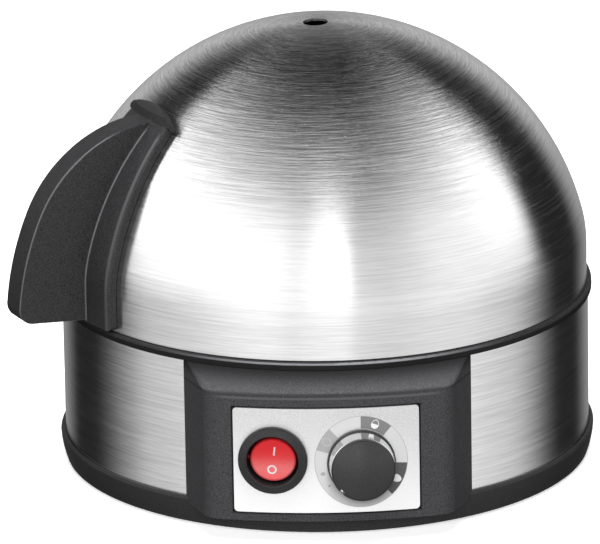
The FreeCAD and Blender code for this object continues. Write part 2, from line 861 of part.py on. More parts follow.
def make_element_clips():
    """Hat-shaped straps that hold the element's tube up against the pan."""
    body = new_body("element_clips")
    gap = "element_tube_radius + 3 * fit_gap"
    low = f"{ELEMENT_Z} - element_tube_radius - fit_gap"
    profile = sketch_on(body, "XZ_Plane", ("element_circle_radius", "0", "0"))
    outline(profile, strap_outline(gap, low))
    clip = pad(body, profile, "clip_width", symmetric=True)
    polar(body, [clip], "clip_count")
    body.Placement = Placement(Vector(0, 0, 0), Rotation(Vector(0, 0, 1), 30))


def make_thermostat():
    body = new_body("thermostat")
    section = upright_sketch(body)
    top = "pan_under"
    outline(section, [
        ("0", f"{top} - thermostat_height"),
        ("thermostat_radius", f"{top} - thermostat_height"),
        ("thermostat_radius", f"{top} - thermostat_flange_height"),
        ("thermostat_flange_radius", f"{top} - thermostat_flange_height"),
        ("thermostat_flange_radius", top),
        ("0", top),
    ])
    revolve(body, section)


def make_thermostat_bracket():
    body = new_body("thermostat_bracket")
    profile = sketch_on(body, "XZ_Plane")
    reach = "thermostat_flange_radius + fit_gap"
    end = "bracket_half_length + bracket_foot / 2"
    low = "pan_under - thermostat_height"
    outline(profile, [
        (f"-({end})", "pan_under - bracket_sheet"),
        (f"-({reach} + bracket_sheet)", "pan_under - bracket_sheet"),
        (f"-({reach} + bracket_sheet)", f"{low} - bracket_sheet"),
        (f"{reach} + bracket_sheet", f"{low} - bracket_sheet"),
        (f"{reach} + bracket_sheet", "pan_under - bracket_sheet"),
        (end, "pan_under - bracket_sheet"),
        (end, "pan_under"),
        (reach, "pan_under"),
        (reach, low),
        (f"-({reach})", low),
        (f"-({reach})", "pan_under"),
        (f"-({end})", "pan_under"),
    ])
    pad(body, profile, "bracket_width", symmetric=True)
    for side in (-1, 1):
        hole = upright_sketch(body, f"{side} * bracket_half_length")
        low = "pan_under - bracket_sheet - cut_over"
        box_outline(hole, "0", low, "bracket_stud_radius + fit_gap", "pan_under + cut_over")
        groove(body, hole)


def make_bracket_nuts():
    body = new_body("bracket_nuts")
    for side in (-1, 1):
        place = f"{side} * bracket_half_length"
        faces = sketch_on(body, "XY_Plane", (place, "0", "pan_under - bracket_sheet"))
        hexagon(faces, "bracket_nut_flats")
        pad(body, faces, "bracket_nut_height", reverse=True)
        bore = upright_sketch(body, place)
        box_outline(bore, "0", "pan_under - bracket_sheet - bracket_nut_height - cut_over",
                    "bracket_stud_radius + run_gap", "pan_under - bracket_sheet + cut_over")
        groove(body, bore)


def make_thermal_fuse():
    body = new_body("thermal_fuse")
    height = "pan_under - fit_gap - fuse_radius"
    section = sketch_on(body, "XY_Plane", ("0", "-fuse_offset", height), "90")
    outline(section, [
        ("0", "-(fuse_length / 2 + fuse_lead_length)"),
        ("fuse_lead_radius", "-(fuse_length / 2 + fuse_lead_length)"),
        ("fuse_lead_radius", "-fuse_length / 2"),
        ("fuse_radius", "-fuse_length / 2"),
        ("fuse_radius", "fuse_length / 2"),
        ("fuse_lead_radius", "fuse_length / 2"),
        ("fuse_lead_radius", "fuse_length / 2 + fuse_lead_length"),
        ("0", "fuse_length / 2 + fuse_lead_length"),
    ])
    revolve(body, section)


def make_fuse_clip():
    body = new_body("fuse_clip")
    gap = "fuse_radius + fit_gap"
    profile = sketch_on(body, "YZ_Plane", ("-fuse_offset", "0", "0"))
    outline(profile, strap_outline(gap, f"pan_under - 2 * ({gap})"))
    pad(body, profile, "clip_width", symmetric=True)


def make_egg_tray():
    body = new_body("egg_tray")
    section = upright_sketch(body)
    outline(section, [
        ("tray_radius - tray_wall", "tray_foot"),
        ("tray_radius", "tray_foot"),
        ("tray_radius", "tray_top - tray_wall", "tray_wall"),
        ("tray_radius - tray_wall", "tray_top"),
        ("0", "tray_top"),
        ("0", "tray_top - tray_wall"),
        ("tray_radius - tray_wall", "tray_top - tray_wall"),
    ])
    revolve(body, section)
    grips = sketch_on(body, "YZ_Plane", ("0", "0", "grip_radius"))
    half = "grip_width / 2"
    outline(grips, [
        (f"-{half}", "tray_top - tray_wall / 2"),
        (half, "tray_top - tray_wall / 2"),
        (half, "tray_top + grip_height / 2", "grip_width * grip_crown_share"),
        (f"-{half}", "tray_top + grip_height / 2"),
    ])
    grip = pad(body, grips, "grip_wall", symmetric=True)
    polar(body, [grip], "2")

    def egg_hole(x):
        hole = upright_sketch(body, x)
        outline(hole, [
            ("0", "tray_top - tray_wall - cut_over"),
            ("egg_hole_radius", "tray_top - tray_wall - cut_over"),
            ("egg_hole_radius", "tray_top - egg_hole_bevel"),
            ("egg_hole_radius + egg_hole_bevel", "tray_top"),
            ("egg_hole_radius + egg_hole_bevel", "tray_top + cut_over"),
            ("0", "tray_top + cut_over"),
        ])
        return groove(body, hole)

    egg_hole("0")
    polar(body, [egg_hole("egg_circle_radius")], "egg_count")


def lid_curve(gap):
    """Points of the lid's outer curve from the skirt to the crown, moved outwards by a gap."""
    share = f"(crown_radius + {gap}) / arc_step"
    skirt = f"lid_skirt_radius + {gap}"
    tangent = (f"shoulder_r * {share}", f"crown_centre + shoulder_rise * {share}")
    return skirt, tangent


def place_lid_piece(body):
    """Lid pieces are modelled with the handle towards +X, then turned to its azimuth."""
    body.Placement = Placement(Vector(0, 0, 0), Rotation(Vector(0, 0, 1), value("270 - handle_azimuth")))
    bind(body, "Placement.Rotation.Angle", "270 - handle_azimuth")


def on_crown(radius, angle):
    """A point above the crown's centre, at a radius and an elevation."""
    return f"({radius}) * cos({angle})", f"crown_centre + ({radius}) * sin({angle})"


# Each handle screw: where its axis meets the lid's outer face, and its elevation
HANDLE_SCREWS = (
    ("lid_skirt_radius", "lid_foot + handle_screw_low_height", "0"),
    (*on_crown("crown_radius", "handle_screw_high_angle"), "handle_screw_high_angle"),
)


def make_lid_dome():
    body = new_body("lid_dome")
    skirt, tangent = lid_curve("0")
    inner_skirt, inner_tangent = lid_curve("-lid_sheet")
    section = upright_sketch(body)
    outline(section, [
        (skirt, "lid_foot"),
        (skirt, "shoulder_z", "shoulder_radius"),
        (*tangent, "crown_radius"),
        ("0", "lid_top"),
        ("0", "lid_top - lid_sheet", "-(crown_radius - lid_sheet)"),
        (*inner_tangent, "-(shoulder_radius - lid_sheet)"),
        (f"{inner_skirt}", "shoulder_z"),
        (f"{inner_skirt}", "lid_foot"),
    ])
    revolve(body, section)
    vent = upright_sketch(body, "steam_hole_offset")
    box_outline(vent, "0", "lid_top - lid_sheet - cut_over", "steam_hole_radius", "lid_top + cut_over")
    groove(body, vent)
    for x, z, elevation in HANDLE_SCREWS:
        hole = leaning_sketch(body, x, z, elevation)
        box_outline(hole, "0", "-(lid_sheet + cut_over)", "handle_screw_radius + fit_gap", "cut_over")
        groove(body, hole)
    place_lid_piece(body)


def on_circle(centre, radius, angle):
    """The point of a circle at an angle, in the plane of the handle's fin."""
    return f"{centre}_x + {radius} * cos({angle})", f"{centre}_z + {radius} * sin({angle})"


def add_nose(body):
    """The raised end of the saddle: a rounded back, cut to an arch towards the top of the lid."""
    under = "crown_radius + saddle_gap"
    crest = "crown_radius + saddle_wall + nose_rise"
    back = sketch_on(body, "XZ_Plane")
    outline(back, [
        on_crown(under, "nose_low_angle"),
        on_crown("crown_radius + saddle_wall", "nose_low_angle"),
        (*on_crown(crest, "nose_high_angle"), "nose_round"),
        on_crown("crown_radius + nose_lip", "nose_tip_angle"),
        (*on_crown(under, "nose_tip_angle"), f"-({under})"),
    ])
    revolve(body, back, "2 * nose_half_angle")
    x, z = on_crown(f"{crest} + cut_over", "nose_high_angle")
    arch = sketch_on(body, "YZ_Plane", ("0", z, x), "-nose_high_angle", Vector(1, 0, 0))
    half = "(crown_radius * cos(nose_high_angle) * sin(nose_half_angle))"
    arch_radius = f"({half} ^ 2 + nose_arch ^ 2) / (2 * nose_arch)"
    side = f"({half} + saddle_wall)"
    outline(arch, [
        (f"-{half}", "0", f"-({arch_radius})"),
        (half, "0"),
        (side, "0"),
        (side, f"2 * {half}"),
        (f"-{side}", f"2 * {half}"),
        (f"-{side}", "0"),
    ])
    pocket(body, arch, "nose_rise + 2 * saddle_wall")


def make_lid_handle():
    body = new_body("lid_handle")
    fin = sketch_on(body, "XZ_Plane")
    outline(fin, [
        (*on_circle("crest", "fin_crest_radius", "fin_crest_angle"), "-fin_crest_radius"),
        ("knuckle_x", "knuckle_z", "-fin_flank_radius"),
        (*on_circle("flank", "fin_flank_radius", "fin_flank_angle"), "-fin_toe_radius"),
        on_circle("toe", "fin_toe_radius", "-fin_heel_angle"),
        ("lid_skirt_radius + saddle_wall", "lid_foot + fin_root_height"),
        ("lid_skirt_radius - fin_wall", "lid_foot + fin_root_height"),
    ])
    pad(body, fin, "fin_wall", symmetric=True)
    fin_side = value("fin_wall") / 2
    saddle_edge = value("crown_radius + saddle_wall")
    centre = Vector(0, 0, value("crown_centre"))

    def on_fin_outline(edge):
        spot = middle_of(edge)
        far = (Vector(spot.x, 0, spot.z) - centre).Length > saddle_edge
        return abs(abs(spot.y) - fin_side) < NEAR and edge.BoundBox.YLength < NEAR and far

    round_edges(body, "fin_round", on_fin_outline)
    saddle = sketch_on(body, "XZ_Plane")
    skirt, tangent = lid_curve("saddle_wall")
    inner_skirt, inner_tangent = lid_curve("saddle_gap")
    foot = "lid_foot + saddle_lift"
    outline(saddle, [
        (skirt, foot),
        (skirt, "shoulder_z", "shoulder_radius + saddle_wall"),
        (*tangent, "crown_radius + saddle_wall"),
        on_crown("crown_radius + saddle_wall", "saddle_top_angle"),
        (*on_crown("crown_radius + saddle_gap", "saddle_top_angle"), "-(crown_radius + saddle_gap)"),
        (*inner_tangent, "-(shoulder_radius + saddle_gap)"),
        (inner_skirt, "shoulder_z"),
        (inner_skirt, foot),
    ])
    revolve(body, saddle, "2 * saddle_half_angle")
    lid = doc.getObject("lid_dome").Shape
    side = value("saddle_half_angle")
    half_wall = value("saddle_wall") / 2

    def on_saddle_rim(edge):
        spot = middle_of(edge)
        azimuth = math.degrees(math.atan2(abs(spot.y), spot.x))
        return abs(azimuth - side) < NEAR and lid.distToShape(Part.Vertex(spot))[0] > half_wall

    round_edges(body, "saddle_round", on_saddle_rim)

    def on_fin_root(edge):
        spot = middle_of(edge)
        on_side = abs(abs(spot.y) - fin_side) < NEAR and edge.BoundBox.YLength < NEAR
        return on_side and abs(lid.distToShape(Part.Vertex(spot))[0] - 2 * half_wall) < NEAR

    round_edges(body, "fin_root_round", on_fin_root)
    hollow = sketch_on(body, "XZ_Plane")
    outline(hollow, [
        ("0", "lid_foot - cut_over"),
        (inner_skirt, "lid_foot - cut_over"),
        (inner_skirt, "shoulder_z", "shoulder_radius + saddle_gap"),
        (*inner_tangent, "crown_radius + saddle_gap"),
        ("0", "lid_top + saddle_gap"),
    ])
    groove(body, hollow)
    add_nose(body)
    for x, z, elevation in HANDLE_SCREWS:
        pilot = leaning_sketch(body, x, z, elevation)
        box_outline(pilot, "0", "-cut_over", "handle_screw_radius", "handle_screw_bite + fit_gap")
        groove(body, pilot)
    place_lid_piece(body)


def make_handle_screws():
    body = new_body("handle_screws")
    for x, z, elevation in HANDLE_SCREWS:
        section = leaning_sketch(body, x, z, elevation)
        seat = "-(lid_sheet + handle_washer_height + 2 * fit_gap)"
        outline(section, [
            ("0", f"{seat} - handle_screw_head_height"),
            ("handle_screw_head_radius", f"{seat} - handle_screw_head_height"),
            ("handle_screw_head_radius", seat),
            ("handle_screw_radius", seat),
            ("handle_screw_radius", "handle_screw_bite"),
            ("0", "handle_screw_bite"),
        ])
        revolve(body, section)
    place_lid_piece(body)


def make_handle_washers():
    body = new_body("handle_washers")
    for x, z, elevation in HANDLE_SCREWS:
        section = leaning_sketch(body, x, z, elevation)
        seat = "-(lid_sheet + 2 * fit_gap)"
        box_outline(section, "handle_screw_radius + fit_gap", f"{seat} - handle_washer_height",
                    "handle_washer_radius", seat)
        revolve(body, section)
    place_lid_piece(body)


def rounded_plan(front, centre_y, lean, bend, rear):
    """A plan with an arched front, corners that run smoothly into it, and flanks that leave them at a crease."""
    upright = f"sqrt(1 - {lean} ^ 2)"
    middle_x = f"({front} - {bend}) * {lean}"
    middle_y = f"({centre_y} - ({front} - {bend}) * {upright})"
    run = f"({rear} - {middle_x})"
    rise = f"(-panel_rear_depth - {middle_y})"
    smooth = f"atan({rise} / {run}) - acos({bend} / sqrt({run} ^ 2 + {rise} ^ 2))"
    turn = f"(({smooth}) / 1 deg - panel_crease)"
    front_x = f"{front} * {lean}"
    front_y = f"{centre_y} - {front} * {upright}"
    corner_x = f"{middle_x} + {bend} * cos({turn})"
    corner_y = f"{middle_y} + {bend} * sin({turn})"
    return [
        (f"-{rear}", "-panel_rear_depth"),
        (f"-({corner_x})", corner_y, bend),
        (f"-({front_x})", front_y, front),
        (front_x, front_y, bend),
        (corner_x, corner_y),
        (rear, "-panel_rear_depth"),
    ]


def panel_outline(inset):
    """The panel's plan, moved inwards by an inset."""
    front = f"(panel_front_radius - {inset})"
    bend = f"(panel_corner_radius - {inset})"
    return rounded_plan(front, "panel_arc_centre", "panel_lean", bend, f"(panel_rear_half_width - {inset})")


def panel_top_outline():
    """The panel's plan where its slope meets the rim: the front follows the lip."""
    return rounded_plan("brow_radius", "0", "brow_lean", "panel_top_radius", "panel_rear_half_width")


def station(offset):
    """Where the front arc passes an offset from the middle, and the heading of its outward normal."""
    y = f"panel_arc_centre - sqrt(panel_front_radius ^ 2 - ({offset}) ^ 2)"
    heading = f"asin(({offset}) / panel_front_radius) / 1 deg"
    return y, heading


SWITCH_X = "-switch_offset"
KNOB_X = "knob_offset"


def drill(body, offset, z, radius):
    """A hole square through the front wall at a station on its arc."""
    y, heading = station(offset)
    hole = level_sketch(body, offset, y, z, heading)
    box_outline(hole, "0", "-3 * case_wall", radius, "case_wall")
    groove(body, hole)


def place_on_front(body, offset, z):
    """Pieces on the front are modelled with Z out of the panel, then set at their station."""
    y, heading = station(offset)
    body.Placement = Placement(
        Vector(value(offset), value(y), value(z)),
        Rotation(Vector(0, 0, 1), value(heading)) * Rotation(Vector(1, 0, 0), 90),
    )


def make_control_panel():
    body = new_body("control_panel")
    plan = sketch_on(body, "XY_Plane", ("0", "0", "panel_under"))
    outline(plan, panel_outline("0"))
    pad(body, plan, "panel_front_height")
    edge = sketch_on(body, "XY_Plane", ("0", "0", "panel_edge"))
    outline(edge, panel_outline("0"))
    brow = sketch_on(body, "XY_Plane", ("0", "0", "panel_crown"))
    outline(brow, panel_top_outline())
    loft(body, edge, brow)
    level = value("panel_edge")

    def on_front_edge(edge):
        box = edge.BoundBox
        return box.ZLength < NEAR and abs(box.ZMin - level) < NEAR and isinstance(edge.Curve, Part.Circle)

    round_edges(body, "panel_edge_round", on_front_edge)
    cavity = sketch_on(body, "XY_Plane", ("0", "0", "panel_under + case_wall"))
    outline(cavity, panel_outline("case_wall"))
    pocket(body, cavity, "panel_front_height - case_wall - panel_roof_wall", reverse=True)
    for side in (-1, 1):
        for height in ("panel_boss_low", "panel_boss_high"):
            boss = level_sketch(body, "0", "0", f"foot_lift + {height}", f"{side} * panel_boss_azimuth")
            box_outline(boss, "0", "band_radius - cut_over", "panel_boss_radius", "panel_boss_tip")
            revolve(body, boss)
    trim = upright_sketch(body)
    box_outline(trim, "0", "panel_under - cut_over", "band_radius + fit_gap", "panel_crown + cut_over")
    groove(body, trim)
    for side in (-1, 1):
        for height in ("panel_boss_low", "panel_boss_high"):
            pilot = level_sketch(body, "0", "0", f"foot_lift + {height}", f"{side} * panel_boss_azimuth")
            depth = "band_radius + panel_screw_bite + fit_gap"
            box_outline(pilot, "0", "band_radius - cut_over", "panel_screw_radius", depth)
            groove(body, pilot)
    recess = sketch_on(body, "XY_Plane", ("0", "0", "plate_under - plate_border"))
    outline(recess, plate_plan("recess_radius", "panel_front_radius + cut_over", "plate_width / 2 + plate_border"))
    pocket(body, recess, "plate_height + 2 * plate_border", reverse=True)
    drill(body, SWITCH_X, "switch_z", "switch_barrel_radius + fit_gap")
    drill(body, KNOB_X, "knob_z", "bush_radius + fit_gap")


def plate_plan(inner, outer, half):
    """A strip of the front arc between two radii, centred on the plate."""
    left = f"(-plate_offset - ({half}))"
    right = f"(-plate_offset + ({half}))"

    def on_arc(x, radius):
        return f"panel_arc_centre - sqrt(({radius}) ^ 2 - {x} ^ 2)"

    return [
        (left, on_arc(left, outer), outer),
        (right, on_arc(right, outer)),
        (right, on_arc(right, inner), f"-({inner})"),
        (left, on_arc(left, inner)),
    ]


def make_panel_plate():
    body = new_body("panel_plate")
    plan = sketch_on(body, "XY_Plane", ("0", "0", "plate_under"))
    outline(plan, plate_plan("recess_radius + fit_gap", "panel_front_radius", "plate_width / 2"))
    pad(body, plan, "plate_height")
    sheet_wall = value("plate_sheet")
    round_edges(body, "plate_corner_radius", lambda edge: edge.BoundBox.ZLength < NEAR and edge.Length < 2 * sheet_wall)
    drill(body, SWITCH_X, "switch_z", "switch_barrel_radius + 2 * fit_gap")
    drill(body, KNOB_X, "knob_z", "control_washer_radius + free_gap")


def make_panel_screws():
    body = new_body("panel_screws")
    for side in (-1, 1):
        for height in ("panel_boss_low", "panel_boss_high"):
            section = level_sketch(body, "0", "0", f"foot_lift + {height}", f"{side} * panel_boss_azimuth")
            seat = "band_inside - fit_gap"
            outline(section, [
                ("0", f"{seat} - panel_screw_head_height"),
                ("panel_screw_head_radius", f"{seat} - panel_screw_head_height"),
                ("panel_screw_head_radius", seat),
                ("panel_screw_radius", seat),
                ("panel_screw_radius", "band_radius + panel_screw_bite"),
                ("0", "band_radius + panel_screw_bite"),
            ])
            revolve(body, section)


def make_switch_body():
    body = new_body("switch_body")
    section = upright_sketch(body)
    outline(section, [
        ("0", "-switch_depth"),
        ("switch_barrel_radius", "-switch_depth"),
        ("switch_barrel_radius", "run_gap"),
        ("bezel_radius", "run_gap"),
        ("bezel_radius", "bezel_edge - bezel_round", "bezel_round"),
        ("bezel_radius - bezel_round", "bezel_edge"),
        ("switch_well_radius + bezel_bevel", "bezel_crest"),
        ("switch_well_radius", "bezel_crest - bezel_bevel"),
        ("switch_well_radius", "-switch_well_depth"),
        ("0", "-switch_well_depth"),
    ])
    revolve(body, section)
    for side in (-1, 1):
        lug = sketch_on(body, "XZ_Plane")
        root = "switch_barrel_radius - cut_over"
        front = "-(wall_back + fit_gap)"
        outline(lug, [
            (f"{side} * ({root})", front),
            (f"{side} * (switch_barrel_radius + switch_lug_reach)", front),
            (f"{side} * ({root})", f"{front} - switch_lug_length"),
        ])
        pad(body, lug, "switch_lug_width", symmetric=True)
    pivot = sketch_on(body, "YZ_Plane")
    circle(pivot, "0", "-rocker_pivot_depth", "rocker_pin_radius + run_gap")
    pocket(body, pivot, "2 * (rocker_pin_reach + fit_gap)", symmetric=True)
    place_on_front(body, SWITCH_X, "switch_z")


def make_switch_terminals():
    body = new_body("switch_terminals")
    for step in (-1, 0, 1):
        blade = sketch_on(body, "XY_Plane", ("0", f"{step} * blade_pitch", "-switch_depth"))
        box_outline(blade, "-blade_width / 2", "-blade_sheet / 2", "blade_width / 2", "blade_sheet / 2")
        pad(body, blade, "blade_length", reverse=True)
    place_on_front(body, SWITCH_X, "switch_z")


def make_switch_rocker():
    body = new_body("switch_rocker")
    section = upright_sketch(body)
    pivot = "-rocker_pivot_depth"
    outline(section, [
        ("0", f"{pivot} - rocker_keel"),
        ("rocker_waist_radius - rocker_keel_taper", f"{pivot} - rocker_keel"),
        ("rocker_waist_radius", pivot),
        ("rocker_face_radius", "rocker_face_height - rocker_edge_bevel"),
        ("rocker_face_radius - rocker_edge_bevel", "rocker_face_height"),
        ("0", "rocker_face_height"),
    ])
    revolve(body, section)
    dish = sketch_on(body, "YZ_Plane")
    reach = "(rocker_face_radius + rocker_dish_margin)"
    low = "rocker_face_height - rocker_dish"
    dish_radius = f"({reach} * {reach} + rocker_dish * rocker_dish) / (2 * rocker_dish)"
    outline(dish, [
        (f"-{reach}", "rocker_face_height", dish_radius),
        (reach, "rocker_face_height"),
        (reach, "rocker_face_height + cut_over"),
        (f"-{reach}", "rocker_face_height + cut_over"),
    ])
    pocket(body, dish, "4 * rocker_face_radius", symmetric=True)
    pins = sketch_on(body, "YZ_Plane")
    circle(pins, "0", pivot, "rocker_pin_radius")
    pad(body, pins, "2 * rocker_pin_reach", symmetric=True)
    place_on_front(body, SWITCH_X, "switch_z")
    tilt = Rotation(Vector(1, 0, 0), value("rocker_tilt"))
    body.Placement = body.Placement * Placement(Vector(0, 0, 0), tilt, Vector(0, 0, value(pivot)))


def make_knob():
    body = new_body("knob")
    section = upright_sketch(body)
    outline(section, [
        ("0", "knob_gap"),
        ("knob_skirt_radius", "knob_gap"),
        ("knob_skirt_radius", "knob_gap + knob_skirt_height"),
        ("knob_core_radius", "knob_gap + knob_skirt_height"),
        ("knob_core_radius", "knob_front - knob_cap_height"),
        ("0", "knob_front - knob_cap_height"),
    ])
    revolve(body, section)
    recess = upright_sketch(body)
    box_outline(recess, "0", "0", "knob_recess_radius", "knob_gap + knob_recess_height")
    groove(body, recess)
    bore = sketch_on(body, "XY_Plane", ("0", "0", "knob_gap"))
    shaft_outline(bore, "run_gap")
    pocket(body, bore, "shaft_in_knob - knob_gap", reverse=True)
    place_on_front(body, KNOB_X, "knob_z")


def shaft_outline(sketch, gap):
    """A round shaft with one flat: an arc of more than half a turn is drawn as two."""
    radius = f"(shaft_radius + {gap})"
    flat = f"(shaft_radius - shaft_flat + {gap})"
    side = f"sqrt({radius} ^ 2 - {flat} ^ 2)"
    outline(sketch, [
        (f"-{side}", flat, radius),
        ("0", f"-{radius}", radius),
        (side, flat),
    ])


def make_knob_ring():
    body = new_body("knob_ring")
    section = upright_sketch(body)
    low = "knob_gap + knob_skirt_height"
    high = "knob_front - knob_cap_height"
    outline(section, [
        ("knob_core_radius + run_gap", low),
        ("knob_ring_foot_radius", low),
        ("knob_ring_top_radius", f"{high} - knob_edge_bevel"),
        ("knob_ring_top_radius - knob_edge_bevel", high),
        ("knob_core_radius + run_gap", high),
    ])
    revolve(body, section)
    place_on_front(body, KNOB_X, "knob_z")


def make_knob_cap():
    body = new_body("knob_cap")
    section = upright_sketch(body)
    low = "knob_front - knob_cap_height"
    outline(section, [
        ("0", low),
        ("knob_cap_radius - knob_edge_bevel", low),
        ("knob_cap_radius", f"{low} + knob_edge_bevel"),
        ("knob_cap_radius", "knob_front - knob_cap_round", "knob_cap_round"),
        ("knob_cap_radius - knob_cap_round", "knob_front"),
        ("0", "knob_front"),
    ])
    revolve(body, section)
    notch = sketch_on(body, "XY_Plane", ("0", "0", low), "knob_notch_angle")
    half = "knob_notch_width / 2"
    box_outline(notch, "knob_cap_radius - knob_notch_depth", f"-{half}", "knob_cap_radius + cut_over", half)
    pocket(body, notch, "knob_cap_height + cut_over", reverse=True)
    place_on_front(body, KNOB_X, "knob_z")


def make_control_shaft():
    body = new_body("control_shaft")
    back = "-(wall_back + regulator_depth / 2)"
    rod = upright_sketch(body)
    box_outline(rod, "0", back, "shaft_radius", "knob_gap + knob_recess_height")
    revolve(body, rod)
    tip = sketch_on(body, "XY_Plane", ("0", "0", "knob_gap + knob_recess_height"))
    shaft_outline(tip, "0")
    pad(body, tip, "shaft_in_knob - knob_gap - knob_recess_height - run_gap")
    place_on_front(body, KNOB_X, "knob_z")


def make_control_body():
    body = new_body("control_body")
    section = upright_sketch(body)
    hole = "shaft_radius + run_gap"
    front = "bush_length - plate_sheet"
    outline(section, [
        (hole, front),
        (hole, "-(wall_back + regulator_depth / 2 + fit_gap)"),
        ("0", "-(wall_back + regulator_depth / 2 + fit_gap)"),
        ("0", "-regulator_back"),
        ("regulator_radius", "-regulator_back"),
        ("regulator_radius", "-wall_back"),
        ("bush_radius", "-wall_back"),
        ("bush_radius", front),
    ])
    revolve(body, section)
    place_on_front(body, KNOB_X, "knob_z")


NUT_SEAT = "-(plate_sheet + fit_gap) + control_washer_height"


def make_control_washer():
    body = new_body("control_washer")
    ring(body, "bush_radius + fit_gap", "control_washer_radius", "-(plate_sheet + fit_gap)", NUT_SEAT)
    place_on_front(body, KNOB_X, "knob_z")


def make_control_nut():
    body = new_body("control_nut")
    faces = sketch_on(body, "XY_Plane", ("0", "0", NUT_SEAT))
    hexagon(faces, "control_nut_flats")
    pad(body, faces, "control_nut_height")
    bore = upright_sketch(body)
    top = f"{NUT_SEAT} + control_nut_height + cut_over"
    box_outline(bore, "0", f"{NUT_SEAT} - cut_over", "bush_radius + run_gap", top)
    groove(body, bore)
    place_on_front(body, KNOB_X, "knob_z")


def make_control_board():
    body = new_body("control_board")
    plan = sketch_on(body, "XY_Plane", ("0", "0", "-regulator_back"))
    left = "board_offset - board_width / 2"
    box_outline(plan, left, "-board_height / 2", f"{left} + board_width", "board_height / 2")
    pad(body, plan, "board_sheet", reverse=True)
    place_on_front(body, KNOB_X, "knob_z")


def make_buzzer():
    body = new_body("buzzer")
    can = upright_sketch(body, "buzzer_offset", "0")
    low = "-(regulator_back + board_sheet)"
    box_outline(can, "0", f"{low} - buzzer_height", "buzzer_radius", low)
    revolve(body, can)
    place_on_front(body, KNOB_X, "knob_z")


def make_cord_gland():
    body = new_body("cord_gland")
    section = level_sketch(body, "0", "0", "gland_z", "180")
    outer = "band_radius + gland_flange_wall + fit_gap"
    inner = "band_inside - gland_neck_length"
    outline(section, [
        ("gland_bore_radius", inner),
        ("gland_neck_radius", inner),
        ("gland_neck_radius", "band_radius + fit_gap"),
        ("gland_flange_radius", "band_radius + fit_gap"),
        ("gland_flange_radius - gland_flange_bevel", outer),
        ("gland_bore_radius", outer),
    ])
    revolve(body, section)


def make_terminal_block():
    body = new_body("terminal_block")
    plan = sketch_on(body, "XY_Plane", ("0", "block_distance", "floor_top"))
    half = "block_width / 2"
    deep = "block_depth / 2"
    box_outline(plan, f"-{half}", f"-{deep}", half, deep)
    pad(body, plan, "block_height")
    for step in (-1, 0, 1):
        well = upright_sketch(body, f"{step} * block_width / 3", "block_distance")
        low = "floor_top + block_height / 2"
        box_outline(well, "0", low, "block_well_radius", "floor_top + block_height + cut_over")
        groove(body, well)


def check_and_write():
    """Stop on any failed object or bad shape, then write one file per piece."""
    doc.recompute()
    for item in doc.Objects:
        if {"Invalid", "Error"} & set(item.State):
            raise RuntimeError(f"{item.Name} failed: {item.State}")
    for body in parts:
        shape = body.Shape
        if shape.isNull() or not shape.isValid() or not shape.Solids:
            raise RuntimeError(f"{body.Label} has no valid solid")
    os.makedirs("parts", exist_ok=True)
    for body in parts:
        body.Shape.exportStep(f"parts/{body.Label}.step")
        box = body.Shape.BoundBox
        lengths = f"{box.XLength:.1f} x {box.YLength:.1f} x {box.ZLength:.1f}"
        print(f"{body.Label}: {len(body.Shape.Solids)} solids, {lengths}")


fill_sheet()
make_base_pan()
make_rubber_feet()
make_steel_band()
make_upper_rim()
make_case_screws()
make_heating_pan()
make_pan_seal()
make_pan_nuts()
make_heating_element()
make_element_terminals()
make_element_clips()
make_thermostat()
make_thermostat_bracket()
make_bracket_nuts()
make_thermal_fuse()
make_fuse_clip()
make_egg_tray()
make_lid_dome()
make_lid_handle()
make_handle_screws()
make_handle_washers()
make_control_panel()
make_panel_plate()
make_panel_screws()
make_switch_body()
make_switch_terminals()
make_switch_rocker()
make_knob()
make_knob_ring()
make_knob_cap()
make_control_shaft()
make_control_body()
make_control_washer()
make_control_nut()
make_control_board()
make_buzzer()
make_cord_gland()
make_terminal_block()
check_and_write()
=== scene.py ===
"""Finishes, printed marks and studio for the egg cooker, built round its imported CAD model."""
import json
import math

import bmesh
import bpy
from bpy.props import FloatProperty, FloatVectorProperty, PointerProperty
from mathutils import Matrix, Vector


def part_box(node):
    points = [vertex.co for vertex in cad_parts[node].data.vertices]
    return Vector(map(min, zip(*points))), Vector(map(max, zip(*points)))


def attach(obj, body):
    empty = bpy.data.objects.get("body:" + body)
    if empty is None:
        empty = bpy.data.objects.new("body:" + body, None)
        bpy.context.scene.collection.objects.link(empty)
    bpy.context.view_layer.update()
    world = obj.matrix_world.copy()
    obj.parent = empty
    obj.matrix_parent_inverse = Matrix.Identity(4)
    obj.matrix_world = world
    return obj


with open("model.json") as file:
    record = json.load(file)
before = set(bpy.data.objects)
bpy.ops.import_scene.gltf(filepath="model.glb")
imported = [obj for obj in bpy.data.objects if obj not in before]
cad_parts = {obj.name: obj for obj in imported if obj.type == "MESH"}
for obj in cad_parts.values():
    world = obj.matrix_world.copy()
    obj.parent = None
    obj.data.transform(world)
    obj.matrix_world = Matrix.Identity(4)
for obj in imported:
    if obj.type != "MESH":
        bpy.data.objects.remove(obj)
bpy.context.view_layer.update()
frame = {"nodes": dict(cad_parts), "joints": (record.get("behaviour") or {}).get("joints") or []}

bl_info = {
    "name": "Egg Cooker",
    "version": (1, 0, 0),
    "blender": (4, 5, 0),
    "location": "View3D > Sidebar > Egg Cooker",
    "description": "Dresses the packed egg cooker with its finishes, marks and studio",
    "category": "Object",
}

JOINTS = {joint["name"]: joint for joint in frame["joints"]}
MM = 0.001
UP = Vector((0, 0, 1))
WHITE = (1.0, 1.0, 1.0)
BLACK = (0.0, 0.0, 0.0)

# Lid: the crown's arc, and the heights between which the brushed lines deepen towards its top
LID_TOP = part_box("lid_dome")[1].z
CROWN_RADIUS = 89.5 * MM
CROWN_CENTRE = LID_TOP - CROWN_RADIUS
CROWN_RELIEF = (LID_TOP - 55 * MM, LID_TOP - 20 * MM)

